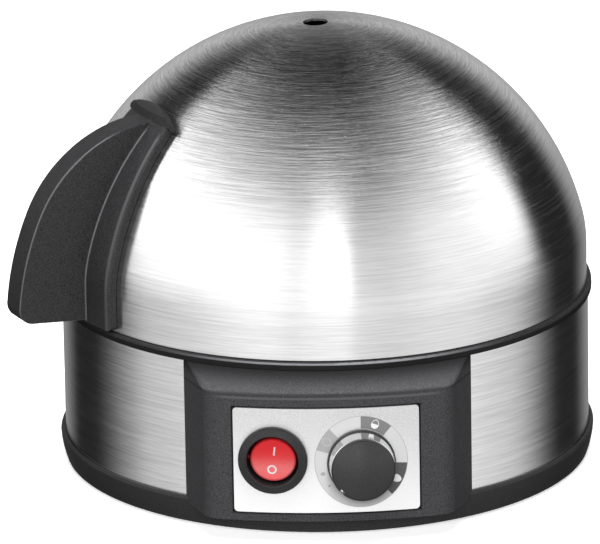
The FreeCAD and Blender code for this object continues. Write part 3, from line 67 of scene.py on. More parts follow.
# Brushing: how the long lines are scaled along and across, and the share of the fine ones
LONG_LINES, WIDE_LINES = 0.3, 0.5
FINE_SHARE = 0.35

# The brushed lines' shading and relief, each below the crown and on it, and their depth
LINE_SHADE = (0.45, 1.0)
LINE_RELIEF = (0.05, 0.6)
LINE_DEPTH = 0.11 * MM

# A quarter turn lays the steel's highlights across the brushed lines
ACROSS = 0.25

# Ranges of a noise texture: where most of its values lie, and the upper ones that dull the steel
NOISE_RANGE = (0.3, 0.7)
HAZE_RANGE = (0.45, 0.72)

# Relief of the grain on mouldings, plate, small pieces and knob, and how much its grooves count
MOULD_DEPTH = 0.1 * MM
PLATE_DEPTH = 0.05 * MM
FINE_DEPTH = 0.04 * MM
KNOB_DEPTH = 0.02 * MM
GROOVES = 0.35

# Knob and rocker: their joints carry their places, and the knob's face swells with a wide radius
KNOB_CENTRE = Vector(JOINTS["knob_turn"]["pos_m"])
KNOB_SWELL = 17 * MM
ROCKER_PIVOT = Vector(JOINTS["switch_rock"]["pos_m"])
ROCKER_RIGHT = -Vector(JOINTS["switch_rock"]["axis"])
ROCKER_OUT = ROCKER_RIGHT.cross(UP)
# The rocker's face glows faintly in its own red: a painted glow
ROCKER_PAINTED_GLOW = 0.16

# The rocker's face ends at this radius, with a darker rim inside it; both have a soft edge
ROCKER_FACE = 7.4 * MM
FACE_EDGE = (ROCKER_FACE + 0.15 * MM, ROCKER_FACE - 0.15 * MM)
RIM_EDGE = (ROCKER_FACE - 0.55 * MM, ROCKER_FACE - 0.35 * MM)
RIM_DARK = 0.55

# Shares of the face's height, from its foot, where its reds lie: the rose and pale reds of a
# painted reflection on the lower half, then the saturated red
ROCKER_STOPS = (0.06, 0.30, 0.56)

# Lid handle: its turn from the front towards the camera's left, and half its fin's wall
HANDLE_TURN = math.radians(63.5)
FIN_HALF = 5.25 * MM

# Painted highlight bands, each from, to and soft edge: along the fin's edges, its root, and the
# saddle's sides, which are in degrees
FIN_EDGE = (FIN_HALF - 0.55 * MM, FIN_HALF - 0.12 * MM, 0.1 * MM)
FIN_ROOT = (FIN_HALF + 0.12 * MM, FIN_HALF + 0.45 * MM, 0.1 * MM)
SADDLE_SIDE = (10.85, 11.2, 0.5)
SADDLE_HIGHLIGHT = 0.7

# The painted highlight bands end at the foot of the handle's nose
NOSE_FOOT = (125 * MM, 122 * MM)

# The rim's lip under the lid: where it starts, the painted highlight along its upper round and how
# that fades sideways, and the painted shade on its wall
LIP_TOP = 60.0 * MM
LIP_REACH = (88.4 * MM, 88.5 * MM)
LIP_HIGHLIGHT = (LIP_TOP - 0.7 * MM, LIP_TOP - 0.3 * MM, 0.2 * MM)
LIP_HIGHLIGHT_FADE = (62 * MM, 15 * MM)
LIP_SHADE = (LIP_TOP - 0.7 * MM, LIP_TOP - 1.1 * MM)

# The panel's slope: painted shade darkens it upwards and at its foot's crease; a painted highlight
# below
SLOPE_FOOT = 51.2 * MM
SLOPE_SHADE = (51.8 * MM, 57.4 * MM)
SLOPE_DARK = 0.95
CREASE = (SLOPE_FOOT - 0.25 * MM, SLOPE_FOOT + 0.25 * MM, 0.3 * MM)
CREASE_DARK = 0.5
BROW_HIGHLIGHT = (SLOPE_FOOT - 1.4 * MM, SLOPE_FOOT - 1.1 * MM, 0.4 * MM)
BROW_HIGHLIGHT_FADE = (39 * MM, 33 * MM)

# A line of painted shade runs round the plate; wherever shade is painted, a colour keeps this share
PLATE_LOW, PLATE_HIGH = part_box("panel_plate")
PLATE_SHADE_LINE = (0.9 * MM, 0.25 * MM)
PAINTED_SHADE_TINT = 0.2

# The plate's specks, few at its foot and more at its top
PLATE_SPECK = (0.3, 0.3, 0.3)
SPECK_SHARE = (0.06, 0.3)

# The knob's sleeve
CHROME = (0.82, 0.82, 0.83)

# Dial, in degrees from the knob's right: each field's ends and colour, its egg, and two small signs
DIAL_FIELDS = (
    (132.6, 164.2, "dial_soft"),
    (48.7, 90.0, "dial_medium"),
    (-49.0, -4.3, "dial_hard"),
)
EGG_TURNS = (148.5, 69.0, -28.0)
SMALL_SIGNS = ((-163.0, 0.5), (-143.0, 0.33))

# An egg mark tapers outwards, and its rim starts at a share of its squared reach. The soft egg's
# rim is only a little darker than the ring
EGG_TAPER = 0.15
EGG_RIM = 0.72
EGG_FAINT = 0.85


def colour(name, description, default):
    return FloatVectorProperty(name=name, description=description, subtype="COLOR", size=3,
                               min=0, max=1, default=default)


def length(name, description, default):
    return FloatProperty(name=name, description=description, unit="LENGTH", subtype="DISTANCE",
                         default=default)


def angle(name, description, degrees):
    return FloatProperty(name=name, description=description, subtype="ANGLE",
                         default=math.radians(degrees))


class EggCookerFinishes(bpy.types.PropertyGroup):
    """Colours of the cooker's surfaces."""

    steel: colour("Steel", "Brushed steel of the lid and the pot", (0.72, 0.72, 0.72))
    plastic: colour("Plastic", "Black textured mouldings", (0.022, 0.022, 0.023))
    plate: colour("Plate", "Silver plate on the panel", (0.80, 0.80, 0.80))
    # The rocker's pale and rose reds are a painted reflection on the lower half of its face
    rocker_saturated: colour("Rocker upper half", "Saturated red of the rocker", (0.76, 0.03, 0.036))
    rocker_pale_sheen: colour("Rocker lower half", "Pale red below the middle", (0.80, 0.24, 0.24))
    rocker_low_sheen: colour("Rocker foot", "Rose red at the lower edge", (0.78, 0.12, 0.13))
    rocker_side: colour("Rocker side", "Dark red round the face", (0.12, 0.003, 0.006))
    dial: colour("Dial ring", "Printed ring round the knob", (0.66, 0.66, 0.66))
    dial_soft: colour("Soft field", "Field for soft eggs", (0.40, 0.40, 0.40))
    dial_medium: colour("Medium field", "Field for medium eggs", (0.21, 0.21, 0.21))
    dial_hard: colour("Hard field", "Field for hard eggs", (0.075, 0.075, 0.075))
    mark: colour("Marks", "White marks on the rocker and the dial", (0.86, 0.86, 0.86))


class EggCookerMarks(bpy.types.PropertyGroup):
    """Sizes of the printed marks."""

    ring_inner: length("Ring inner radius", "Inner radius of the dial ring", 11.0 * MM)
    ring_outer: length("Ring outer radius", "Outer radius of the dial ring", 15.2 * MM)
    ring_line: length("Ring line", "Width of the hairline round the dial ring", 0.16 * MM)
    dial_height: FloatProperty(name="Dial height", default=1.035,
                               description="Height of the dial against its width")
    egg_radius: length("Egg radius", "Distance of the egg marks from the knob's axis", 13.1 * MM)
    egg_length: length("Egg length", "Long diameter of an egg mark", 3.1 * MM)
    egg_width: length("Egg width", "Short diameter of an egg mark", 2.5 * MM)
    mark_height: length("Rocker mark", "Height of the marks on the rocker", 3.1 * MM)
    mark_stroke: length("Rocker stroke", "Stroke of the marks on the rocker", 0.55 * MM)
    mark_offset: length("Rocker mark offset", "From each mark to the rocker's middle", 3.3 * MM)
    mark_drop: length("Rocker mark drop", "How far the marks sit below the middle", 0.3 * MM)
    mark_turn: angle("Rocker mark turn", "Clockwise turn of the marks", 8.0)
    mark_lift: length("Mark lift", "How far the print stands off the rocker's face", 0.04 * MM)


class EggCookerStage(bpy.types.PropertyGroup):
    """Camera and studio."""

    elevation: angle("Elevation", "Camera's height over the horizon", 18.08)
    roll: angle("Roll", "Camera's turn about its own axis", 1.0)
    distance: length("Distance", "From the camera to the point it is set on", 2.5157)
    lens: FloatProperty(name="Lens", unit="CAMERA", default=450,
                        description="Focal length on a 36 mm sensor")
    aim_height: length("Aim height", "Height of the point that the camera is set on", 81.2 * MM)
    slide_right: length("Slide right", "How far the camera is moved to its right", -8.03 * MM)
    slide_up: length("Slide up", "How far the camera is moved upwards", -18.26 * MM)
    floor: colour("Floor", "Pale floor", (0.92, 0.92, 0.92))


def feed(tree, made, **inputs):
    """Set or link a node's inputs: by number as n0, n1 and so on, or by name with _ for a space."""
    for key, given in inputs.items():
        numbered = key[0] == "n" and key[1:].isdigit()
        socket = made.inputs[int(key[1:]) if numbered else key.replace("_", " ")]
        if isinstance(given, bpy.types.NodeSocket):
            tree.links.new(given, socket)
        else:
            socket.default_value = given


def node_of(tree, kind, settings=None, **inputs):
    """Add a shader node, set its options, and set or link its inputs."""
    made = tree.nodes.new(f"ShaderNode{kind}")
    for key, setting in (settings or {}).items():
        setattr(made, key, setting)
    feed(tree, made, **inputs)
    return made


def math_of(tree, operation, first, second=0.0, third=0.0):
    settings = {"operation": operation}
    return node_of(tree, "Math", settings, n0=first, n1=second, n2=third).outputs[0]


def joining(operation):
    """A function that joins two or more values by one operation, from the left."""
    def join(tree, first, *others):
        for other in others:
            first = math_of(tree, operation, first, other)
        return first

    return join


add, subtract, multiply, divide = map(joining, ("ADD", "SUBTRACT", "MULTIPLY", "DIVIDE"))
largest = joining("MAXIMUM")


def square(tree, value):
    return multiply(tree, value, value)


def vector_of(tree, operation, first, **others):
    settings = {"operation": operation}
    return node_of(tree, "VectorMath", settings, n0=first, **others).outputs["Vector"]


def measure_of(tree, operation, first, **others):
    settings = {"operation": operation}
    return node_of(tree, "VectorMath", settings, n0=first, **others).outputs["Value"]


def flat_of(tree, x, y):
    return node_of(tree, "CombineXYZ", None, X=x, Y=y).outputs[0]


def noise_of(tree, place, scale=1.0, detail=3.0, roughness=0.65):
    return node_of(tree, "TexNoise", None, Vector=place, Scale=scale, Detail=detail,
                   Roughness=roughness).outputs[0]


def spread(tree, value, low, high):
    """Map a value of 0 to 1 onto a range."""
    return node_of(tree, "MapRange", None, Value=value, To_Min=low, To_Max=high).outputs["Result"]


def step_between(tree, value, low, high):
    """0 at one end of a range, 1 at the other, smooth between."""
    settings = {"interpolation_type": "SMOOTHSTEP"}
    return node_of(tree, "MapRange", settings, Value=value, From_Min=low,
                   From_Max=high).outputs["Result"]


def band_of(tree, value, low, high, soft):
    """1 between two values, fading over a short way outside them."""
    return multiply(tree, step_between(tree, value, low - soft, low),
                    step_between(tree, value, high + soft, high))


def beyond(tree, value, low, high):
    """How far a value lies outside a range, negative inside it."""
    from_middle = subtract(tree, value, (low + high) / 2)
    return subtract(tree, math_of(tree, "ABSOLUTE", from_middle), (high - low) / 2)


def tint(base, factor):
    return tuple(min(1.0, channel * factor) for channel in base)


def mix_colour(tree, factor, first, second):
    """A mix of two colours, each of them linked or given as three channels."""
    first, second = (given if isinstance(given, bpy.types.NodeSocket) else (*given, 1)
                     for given in (first, second))
    settings = {"data_type": "RGBA"}
    return node_of(tree, "Mix", settings, n0=factor, n6=first, n7=second).outputs[2]


def shaded(tree, mask, base, start, end):
    """A colour that a mask moves from one tint of it to another."""
    return mix_colour(tree, mask, tint(base, start), tint(base, end))


def uneven(tree, middle, shade, patina, swing, drift):
    """A value that swings with a texture and drifts with a patina."""
    return add(tree, spread(tree, shade, middle - swing, middle + swing),
               spread(tree, patina, -drift, drift))


def ramp_of(tree, factor, stops, interpolation="LINEAR"):
    """A colour read from a row of stops, each a place and a colour."""
    made = node_of(tree, "ValToRGB", None, Fac=factor)
    made.color_ramp.interpolation = interpolation
    elements = made.color_ramp.elements
    while len(elements) < len(stops):
        elements.new(0.5)
    for element, (place, given) in zip(elements, stops):
        element.position = place
        element.color = (*given, 1)
    return made.outputs["Color"]


def object_point(tree):
    """A point of a piece, which stays with the piece when its joint moves."""
    return node_of(tree, "TexCoord").outputs["Object"]


def object_parts(tree):
    """That point's X, Y and Z."""
    return node_of(tree, "SeparateXYZ", None, Vector=object_point(tree)).outputs


def group_of(name, inputs, outputs):
    """A shader node group with named value sockets: its tree, its inputs and its output node."""
    tree = bpy.data.node_groups.new(name, "ShaderNodeTree")
    for label, default in inputs:
        socket = tree.interface.new_socket(label, in_out="INPUT", socket_type="NodeSocketFloat")
        socket.default_value = default
    for label in outputs:
        tree.interface.new_socket(label, in_out="OUTPUT", socket_type="NodeSocketFloat")
    return tree, tree.nodes.new("NodeGroupInput").outputs, tree.nodes.new("NodeGroupOutput")


def brushing_group():
    """Fine turned lines round the Z axis, seamless, for the lid and the pot."""
    inputs = [("Line", 0.5 * MM), ("Streak", 6.0)]
    tree, given, out = group_of("Brushed turns", inputs, ["Shade", "Haze"])
    x, y, z = object_parts(tree)
    flat = flat_of(tree, x, y)
    rise = subtract(tree, z, CROWN_CENTRE)
    tilt = math_of(tree, "ARCTAN2", rise, measure_of(tree, "LENGTH", flat))
    turns = divide(tree, multiply(tree, tilt, CROWN_RADIUS), given["Line"])
    lines = node_of(tree, "CombineXYZ", None, Z=turns).outputs[0]
    around = vector_of(tree, "SCALE", vector_of(tree, "NORMALIZE", flat), Scale=given["Streak"])
    fine = noise_of(tree, vector_of(tree, "ADD", around, n1=lines))
    slow = vector_of(tree, "SCALE", around, Scale=LONG_LINES)
    wide = vector_of(tree, "SCALE", lines, Scale=WIDE_LINES)
    sparse = noise_of(tree, vector_of(tree, "ADD", slow, n1=wide), detail=4.0, roughness=0.75)
    both = add(tree, multiply(tree, fine, FINE_SHARE), multiply(tree, sparse, 1 - FINE_SHARE))
    feed(tree, out, Shade=step_between(tree, both, *NOISE_RANGE),
         Haze=step_between(tree, sparse, *HAZE_RANGE))
    return tree


def grain_group():
    """Spark-eroded texture of moulded plastic: small soft bumps with grooves between them."""
    tree, given, out = group_of("Moulded grain", [("Size", 0.5 * MM)], ["Shade", "Height"])
    point = object_point(tree)
    density = divide(tree, 1.0, given["Size"])
    bumps = noise_of(tree, point, density)
    cells = node_of(tree, "TexVoronoi", None, Vector=point, Scale=density)
    grooves = multiply(tree, cells.outputs["Distance"], GROOVES)
    feed(tree, out, Shade=step_between(tree, bumps, *NOISE_RANGE),
         Height=subtract(tree, bumps, grooves))
    return tree


def patina_group():
    """Slow unevenness of a handled surface."""
    tree, given, out = group_of("Handled patina", [("Size", 30 * MM)], ["Mask"])
    density = divide(tree, 1.0, given["Size"])
    feed(tree, out, Mask=noise_of(tree, object_point(tree), density, detail=4.0, roughness=0.55))
    return tree


def sector_group():
    """1 between two angles of a dial, in degrees, else 0."""
    inputs = [("Angle", 0.0), ("From", 0.0), ("To", 90.0)]
    tree, given, out = group_of("Dial field", inputs, ["Mask"])
    after = math_of(tree, "GREATER_THAN", given["Angle"], given["From"])
    before = math_of(tree, "LESS_THAN", given["Angle"], given["To"])
    feed(tree, out, Mask=multiply(tree, after, before))
    return tree


def egg_group():
    """An oval along a direction of the dial: its inside, its rim, and how far along a point is."""
    inputs = [("X", 0.0), ("Y", 0.0), ("Angle", 0.0), ("Radius", 10 * MM), ("Length", 3 * MM),
              ("Width", 2.5 * MM)]
    tree, given, out = group_of("Egg mark", inputs, ["Mask", "Rim", "Along"])
    turn = math_of(tree, "RADIANS", given["Angle"])
    cos, sin = math_of(tree, "COSINE", turn), math_of(tree, "SINE", turn)
    outwards = add(tree, multiply(tree, given["X"], cos), multiply(tree, given["Y"], sin))
    across = subtract(tree, multiply(tree, given["Y"], cos), multiply(tree, given["X"], sin))
    along = subtract(tree, outwards, given["Radius"])
    long_part = divide(tree, along, multiply(tree, given["Length"], 0.5))
    wide_part = divide(tree, across, multiply(tree, given["Width"], 0.5))
    slim = add(tree, 1.0, multiply(tree, long_part, EGG_TAPER))
    reach = add(tree, square(tree, long_part), square(tree, multiply(tree, wide_part, slim)))
    inside = math_of(tree, "LESS_THAN", reach, 1.0)
    rim = multiply(tree, inside, math_of(tree, "GREATER_THAN", reach, EGG_RIM))
    feed(tree, out, Mask=inside, Rim=rim, Along=along)
    return tree


def use_group(tree, name, maker, **inputs):
    """The outputs of a shared node group, which is made at its first use."""
    group = bpy.data.node_groups.get(name) or maker()
    return node_of(tree, "Group", {"node_tree": group}, **inputs).outputs


def grain_of(tree, size):
    return use_group(tree, "Moulded grain", grain_group, Size=size)


def patina_of(tree, size):
    return use_group(tree, "Handled patina", patina_group, Size=size)["Mask"]


def new_material(name, **inputs):
    """A material with a Principled shader, and that shader's uniform values."""
    material = bpy.data.materials.new(name)
    material.use_nodes = True
    tree = material.node_tree
    shader = next(item for item in tree.nodes if item.type == "BSDF_PRINCIPLED")
    feed(tree, shader, **inputs)
    return material, tree, shader


def bump_into(tree, shader, height, distance=1.0, strength=1.0):
    """Give a shader the relief of a height, which counts in units of a distance in metres."""
    made = node_of(tree, "Bump", None, Height=height, Strength=strength, Distance=distance)
    feed(tree, shader, Normal=made.outputs[0])


def brushed_steel(name, base, roughness=0.22, line=0.4 * MM, streak=7.0, contrast=0.28, haze=0.02):
    """Steel brushed round the Z axis: shaded lines, a dull haze, highlights across the lines."""
    material, tree, shader = new_material(name, Anisotropic=0.9, Anisotropic_Rotation=ACROSS)
    brushing = use_group(tree, "Brushed turns", brushing_group, Line=line, Streak=streak)
    shade = brushing["Shade"]
    crown = step_between(tree, object_parts(tree)["Z"], *CROWN_RELIEF)
    depth = multiply(tree, subtract(tree, shade, 0.5), spread(tree, crown, *LINE_SHADE))
    patina = patina_of(tree, size=50 * MM)
    feed(tree, shader,
         Base_Color=shaded(tree, add(tree, depth, 0.5), base, 1 - contrast, 1 + contrast),
         Metallic=spread(tree, brushing["Haze"], 1.0, 1 - haze),
         Roughness=uneven(tree, roughness, shade, patina, swing=0.03, drift=0.02),
         Tangent=node_of(tree, "Tangent", {"direction_type": "RADIAL", "axis": "Z"}).outputs[0])
    relief = multiply(tree, shade, spread(tree, crown, *LINE_RELIEF))
    bump_into(tree, shader, relief, LINE_DEPTH)
    return material


def moulded_plastic(name, base, roughness=0.5, grain=0.4 * MM, strength=0.5, contrast=0.65,
                    painted_shade=None, painted_highlight=None, highlight_gain=4.5, **inputs):
    """Textured plastic: grain in colour, gloss and relief, darker with painted shade and lighter
    with a painted highlight where masked.
    """
    material, tree, shader = new_material(name, **inputs)
    texture = grain_of(tree, grain)
    drawn = shaded(tree, texture["Shade"], base, 1 - contrast, 1 + contrast)
    if painted_shade:
        drawn = mix_colour(tree, painted_shade(tree), drawn, tint(base, PAINTED_SHADE_TINT))
    if painted_highlight:
        drawn = mix_colour(tree, painted_highlight(tree), drawn, tint(base, highlight_gain))
    patina = patina_of(tree, size=40 * MM)
    rough = uneven(tree, roughness, texture["Shade"], patina, swing=0.06, drift=0.03)
    feed(tree, shader, Base_Color=drawn, Roughness=rough)
    bump_into(tree, shader, texture["Height"], MOULD_DEPTH, strength)
    return material


def handle_edge_highlights(tree):
    """Painted highlights on the handle's rounds: along the fin's edges and root and the saddle's
    sides.
    """
    x, y, z = object_parts(tree)
    cos, sin = math.cos(HANDLE_TURN), math.sin(HANDLE_TURN)
    across = subtract(tree, multiply(tree, x, cos), multiply(tree, y, sin))
    along = add(tree, multiply(tree, x, -sin), multiply(tree, y, -cos))
    aside = math_of(tree, "ABSOLUTE", across)
    bearing = math_of(tree, "DEGREES", math_of(tree, "ARCTAN2", aside, along))
    side = multiply(tree, band_of(tree, bearing, *SADDLE_SIDE), SADDLE_HIGHLIGHT)
    bands = largest(tree, side, band_of(tree, aside, *FIN_EDGE), band_of(tree, aside, *FIN_ROOT))
    return multiply(tree, step_between(tree, z, *NOSE_FOOT), bands)


def on_lip(tree, x, y):
    """1 on the rim's lip, outside the collar that the lid stands round."""
    return step_between(tree, measure_of(tree, "LENGTH", flat_of(tree, x, y)), *LIP_REACH)


def lip_highlight(tree):
    """A painted highlight along the lip's upper round, fading towards the sides."""
    x, y, z = object_parts(tree)
    ahead = step_between(tree, math_of(tree, "ABSOLUTE", x), *LIP_HIGHLIGHT_FADE)
    return multiply(tree, on_lip(tree, x, y), ahead, band_of(tree, z, *LIP_HIGHLIGHT))


def lip_wall_shade(tree):
    """Painted shade on the lip's wall, under the lid."""
    x, y, z = object_parts(tree)
    return multiply(tree, on_lip(tree, x, y), step_between(tree, z, *LIP_SHADE))


def plate_outline_shade(tree):
    """1 close to the plate's outline, seen from the front, where a line of painted shade runs."""
    x, _, z = object_parts(tree)
    beside = beyond(tree, x, PLATE_LOW.x, PLATE_HIGH.x)
    above = beyond(tree, z, PLATE_LOW.z, PLATE_HIGH.z)
    return step_between(tree, largest(tree, beside, above), *PLATE_SHADE_LINE)


def panel_painted_shade(tree):
    """Painted shade: the slope darkens towards the lip and along its foot's crease, and a line runs
    round the plate.
    """
    z = object_parts(tree)["Z"]
    slope = multiply(tree, step_between(tree, z, *SLOPE_SHADE), SLOPE_DARK)
    crease = multiply(tree, band_of(tree, z, *CREASE), CREASE_DARK)
    return largest(tree, plate_outline_shade(tree), slope, crease)


def brow_highlight(tree):
    """A painted highlight along the face's upper edge, at the front under the slope."""
    x, _, z = object_parts(tree)
    front = step_between(tree, math_of(tree, "ABSOLUTE", x), *BROW_HIGHLIGHT_FADE)
    return multiply(tree, front, band_of(tree, z, *BROW_HIGHLIGHT))


def knob_face(name, base):
    """Satin plastic whose face swells a little towards its middle."""
    material, tree, shader = new_material(name, Roughness=0.38)
    texture = grain_of(tree, size=0.4 * MM)
    feed(tree, shader, Base_Color=shaded(tree, texture["Shade"], base, start=0.6, end=1.5))
    x, _, z = object_parts(tree)
    right, up = subtract(tree, x, KNOB_CENTRE.x), subtract(tree, z, KNOB_CENTRE.z)
    swell = multiply(tree, add(tree, square(tree, right), square(tree, up)), -0.5 / KNOB_SWELL)
    grain = multiply(tree, texture["Height"], KNOB_DEPTH)
    bump_into(tree, shader, add(tree, swell, grain))
    return material


def plain_metal(name, base, roughness=0.35, grain=0.6 * MM):
    """Small metal pieces: slightly mottled plating."""
    material, tree, shader = new_material(name, Metallic=1.0)
    texture = grain_of(tree, grain)
    patina = patina_of(tree, size=8 * MM)
    feed(tree, shader, Base_Color=shaded(tree, patina, base, start=0.8, end=1.15),
         Roughness=spread(tree, texture["Shade"], roughness - 0.08, roughness + 0.1))
    bump_into(tree, shader, texture["Height"], FINE_DEPTH, strength=0.1)
    return material


def dial_print(tree, finishes, marks):
    """The printed ring round the knob: its colours, and where it lies on the plate."""
    x, _, z = object_parts(tree)
    right = subtract(tree, x, KNOB_CENTRE.x)
    up = divide(tree, subtract(tree, z, KNOB_CENTRE.z), marks.dial_height)
    reach = measure_of(tree, "LENGTH", flat_of(tree, right, up))
    bearing = math_of(tree, "DEGREES", math_of(tree, "ARCTAN2", up, right))

    def egg(turn, size=1.0):
        return use_group(tree, "Egg mark", egg_group, X=right, Y=up, Angle=turn,
                         Radius=marks.egg_radius, Length=marks.egg_length * size,
                         Width=marks.egg_width * size)

    ink = finishes.dial
    for start, end, field in DIAL_FIELDS:
        sector = use_group(tree, "Dial field", sector_group, Angle=bearing, From=start, To=end)
        ink = mix_colour(tree, sector["Mask"], ink, getattr(finishes, field))
    soft, medium, hard = map(egg, EGG_TURNS)
    ink = mix_colour(tree, soft["Rim"], ink, tint(finishes.dial, EGG_FAINT))
    half = multiply(tree, medium["Mask"], math_of(tree, "LESS_THAN", medium["Along"], 0.0))
    ink = mix_colour(tree, largest(tree, half, medium["Rim"]), ink, finishes.mark)
    ink = mix_colour(tree, hard["Mask"], ink, finishes.mark)
    for turn, size in SMALL_SIGNS:
        ink = mix_colour(tree, egg(turn, size)["Mask"], ink, finishes.dial_soft)
    hairline = math_of(tree, "GREATER_THAN", reach, marks.ring_outer - marks.ring_line)
    ink = mix_colour(tree, hairline, ink, finishes.dial_soft)
    within = multiply(tree, math_of(tree, "GREATER_THAN", reach, marks.ring_inner),
                      math_of(tree, "LESS_THAN", reach, marks.ring_outer))
    return ink, within


def silver_plate(finishes, marks):
    """Fine matt silver with painted shade towards its top, more specks there, and the dial round
    the knob.
    """
    material, tree, shader = new_material("silver_plate")
    texture = grain_of(tree, size=0.35 * MM)
    shade_and_specks = step_between(tree, object_parts(tree)["Z"], PLATE_LOW.z, PLATE_HIGH.z)
    # Painted shade: the grey darkens towards the plate's top.
    grey = shaded(tree, shade_and_specks, finishes.plate, start=1.16, end=0.9)
    speck = multiply(tree, texture["Shade"], spread(tree, shade_and_specks, *SPECK_SHARE))
    silver = mix_colour(tree, speck, grey, PLATE_SPECK)
    ink, within = dial_print(tree, finishes, marks)
    feed(tree, shader, Base_Color=mix_colour(tree, within, silver, ink),
         Metallic=spread(tree, within, low=0.75, high=0.0),
         Roughness=spread(tree, texture["Shade"], low=0.42, high=0.56))
    bump_into(tree, shader, texture["Height"], PLATE_DEPTH, strength=0.12)
    return material


def rocker_red(finishes):
    """Translucent red with a painted glow, paling towards the pressed lower half with a painted
    reflection, dark round the face.
    """
    material, tree, shader = new_material(
        "rocker_red", Roughness=0.35, Specular_IOR_Level=0.15, Coat_Weight=0.1,
        Coat_Roughness=0.15, Emission_Strength=ROCKER_PAINTED_GLOW)
    away = vector_of(tree, "SUBTRACT", object_point(tree), n1=tuple(ROCKER_PIVOT))
    right = measure_of(tree, "DOT_PRODUCT", away, n1=tuple(ROCKER_RIGHT))
    up = measure_of(tree, "DOT_PRODUCT", away, n1=tuple(UP))
    reach = measure_of(tree, "LENGTH", flat_of(tree, right, up))
    reds = (finishes.rocker_low_sheen, finishes.rocker_pale_sheen, finishes.rocker_saturated)
    stops = tuple(zip(ROCKER_STOPS, reds))
    share = math_of(tree, "MULTIPLY_ADD", up, 0.5 / ROCKER_FACE, 0.5)
    texture = grain_of(tree, size=0.5 * MM)
    red = mix_colour(tree, spread(tree, texture["Shade"], low=0.0, high=0.35),
                     ramp_of(tree, share, stops, "B_SPLINE"), finishes.rocker_saturated)
    rim = multiply(tree, step_between(tree, reach, *RIM_EDGE), RIM_DARK)
    red = mix_colour(tree, rim, red, finishes.rocker_side)
    face = step_between(tree, reach, *FACE_EDGE)
    red = mix_colour(tree, face, finishes.rocker_side, red)
    # The face's own red glows as painted light.
    feed(tree, shader, Base_Color=red, Emission_Color=mix_colour(tree, face, BLACK, red))
    bump_into(tree, shader, texture["Height"], FINE_DEPTH, strength=0.08)
    return material


def print_white(finishes):
    """Screen-printed white, a little uneven."""
    material, tree, shader = new_material("print_white", Roughness=0.5)
    patina = patina_of(tree, size=0.8 * MM)
    feed(tree, shader, Base_Color=shaded(tree, patina, finishes.mark, start=0.93, end=1.05))
    return material


def circuit_board(name, lacquer=(0.012, 0.10, 0.035), track=(0.05, 0.22, 0.08)):
    """Green lacquer with paler copper tracks."""
    material, tree, shader = new_material(name, Roughness=0.35, Coat_Weight=0.4)
    point = object_point(tree)
    bricks = node_of(tree, "TexBrick", None, Vector=point, Scale=260.0, Mortar_Size=0.03)
    feed(tree, shader, Base_Color=mix_colour(tree, bricks.outputs["Fac"], lacquer, track))
    return material


def dress(material, *nodes):
    """Give CAD nodes a finish in their material slots."""
    for name in nodes:
        slots = frame["nodes"][name].data.materials
        slots.clear()
        slots.append(material)


class EGGCOOKER_OT_steel(bpy.types.Operator):
    """Brush the lid, the pot's wall and the heating pan"""

    bl_idname = "egg_cooker.steel"
    bl_label = "Steel"

    def execute(self, context):
        base = context.scene.egg_cooker_finishes.steel
        dress(brushed_steel("lid_steel", base), "lid_dome")
        dress(brushed_steel("band_steel", base), "steel_band")
        dress(brushed_steel("pan_steel", tint(base, 0.95), roughness=0.3, line=0.8 * MM),
              "heating_pan")
        return {"FINISHED"}


class EGGCOOKER_OT_mouldings(bpy.types.Operator):
    """Texture the black mouldings, the rubber and the egg tray"""

    bl_idname = "egg_cooker.mouldings"
    bl_label = "Mouldings"

    def execute(self, context):
        base = context.scene.egg_cooker_finishes.plastic
        dark = tint(base, 0.8)
        dress(moulded_plastic("case_plastic", dark, Specular_IOR_Level=0.3), "base_pan")
        # The rim gets painted shade on its lip's wall and a painted highlight along the lip's upper
        # round.
        dress(moulded_plastic("rim_plastic", dark, painted_shade=lip_wall_shade, painted_highlight=lip_highlight, highlight_gain=10.0,
                              Specular_IOR_Level=0.2), "upper_rim")
        # The handle gets painted highlights along its edges.
        dress(moulded_plastic("handle_plastic", base, grain=0.5 * MM, painted_highlight=handle_edge_highlights,
                              Specular_IOR_Level=0.3), "lid_handle")
        # The panel's plastic is a lighter copy of the black, painted light for the light it
        # catches; it also gets painted shade on its slope, crease and round the plate, and a
        # painted highlight below the slope.
        dress(moulded_plastic("panel_plastic", tint(base, 3.0), grain=0.3 * MM, contrast=0.5,
                              painted_shade=panel_painted_shade, painted_highlight=brow_highlight, highlight_gain=1.7,
                              Specular_IOR_Level=0.02), "control_panel")
        dress(moulded_plastic("bezel_plastic", tint(base, 0.6), roughness=0.38, strength=0.25,
                              Specular_IOR_Level=0.35), "switch_body", "cord_gland")
        dress(moulded_plastic("knob_plastic", dark, roughness=0.4, strength=0.3), "knob")
        dress(knob_face("knob_face", dark), "knob_cap")
        dress(moulded_plastic("tray_plastic", tint(base, 1.2), roughness=0.4), "egg_tray")
        dress(moulded_plastic("rubber", tint(base, 1.5), roughness=0.8, grain=0.8 * MM),
              "rubber_feet", "pan_seal")
        return {"FINISHED"}


class EGGCOOKER_OT_front(bpy.types.Operator):
    """Finish the silver plate with its dial, and the knob's chrome sleeve"""

    bl_idname = "egg_cooker.front"
    bl_label = "Front plate"

    def execute(self, context):
        scene = context.scene
        dress(silver_plate(scene.egg_cooker_finishes, scene.egg_cooker_marks), "panel_plate")
        dress(plain_metal("knob_chrome", CHROME, roughness=0.12, grain=2 * MM), "knob_ring")
        return {"FINISHED"}


def ring_shape(shape, outer, stroke, segments=48):
    """A flat ring about the origin."""
    made = bmesh.ops.create_circle(shape, segments=segments, radius=outer)
    edges = {edge for vert in made["verts"] for edge in vert.link_edges}
    grown = bmesh.ops.extrude_edge_only(shape, edges=list(edges))
    inner = [item for item in grown["geom"] if isinstance(item, bmesh.types.BMVert)]
    share = (outer - stroke) / outer
    bmesh.ops.scale(shape, vec=(share, share, 1), verts=inner)
    return made["verts"] + inner


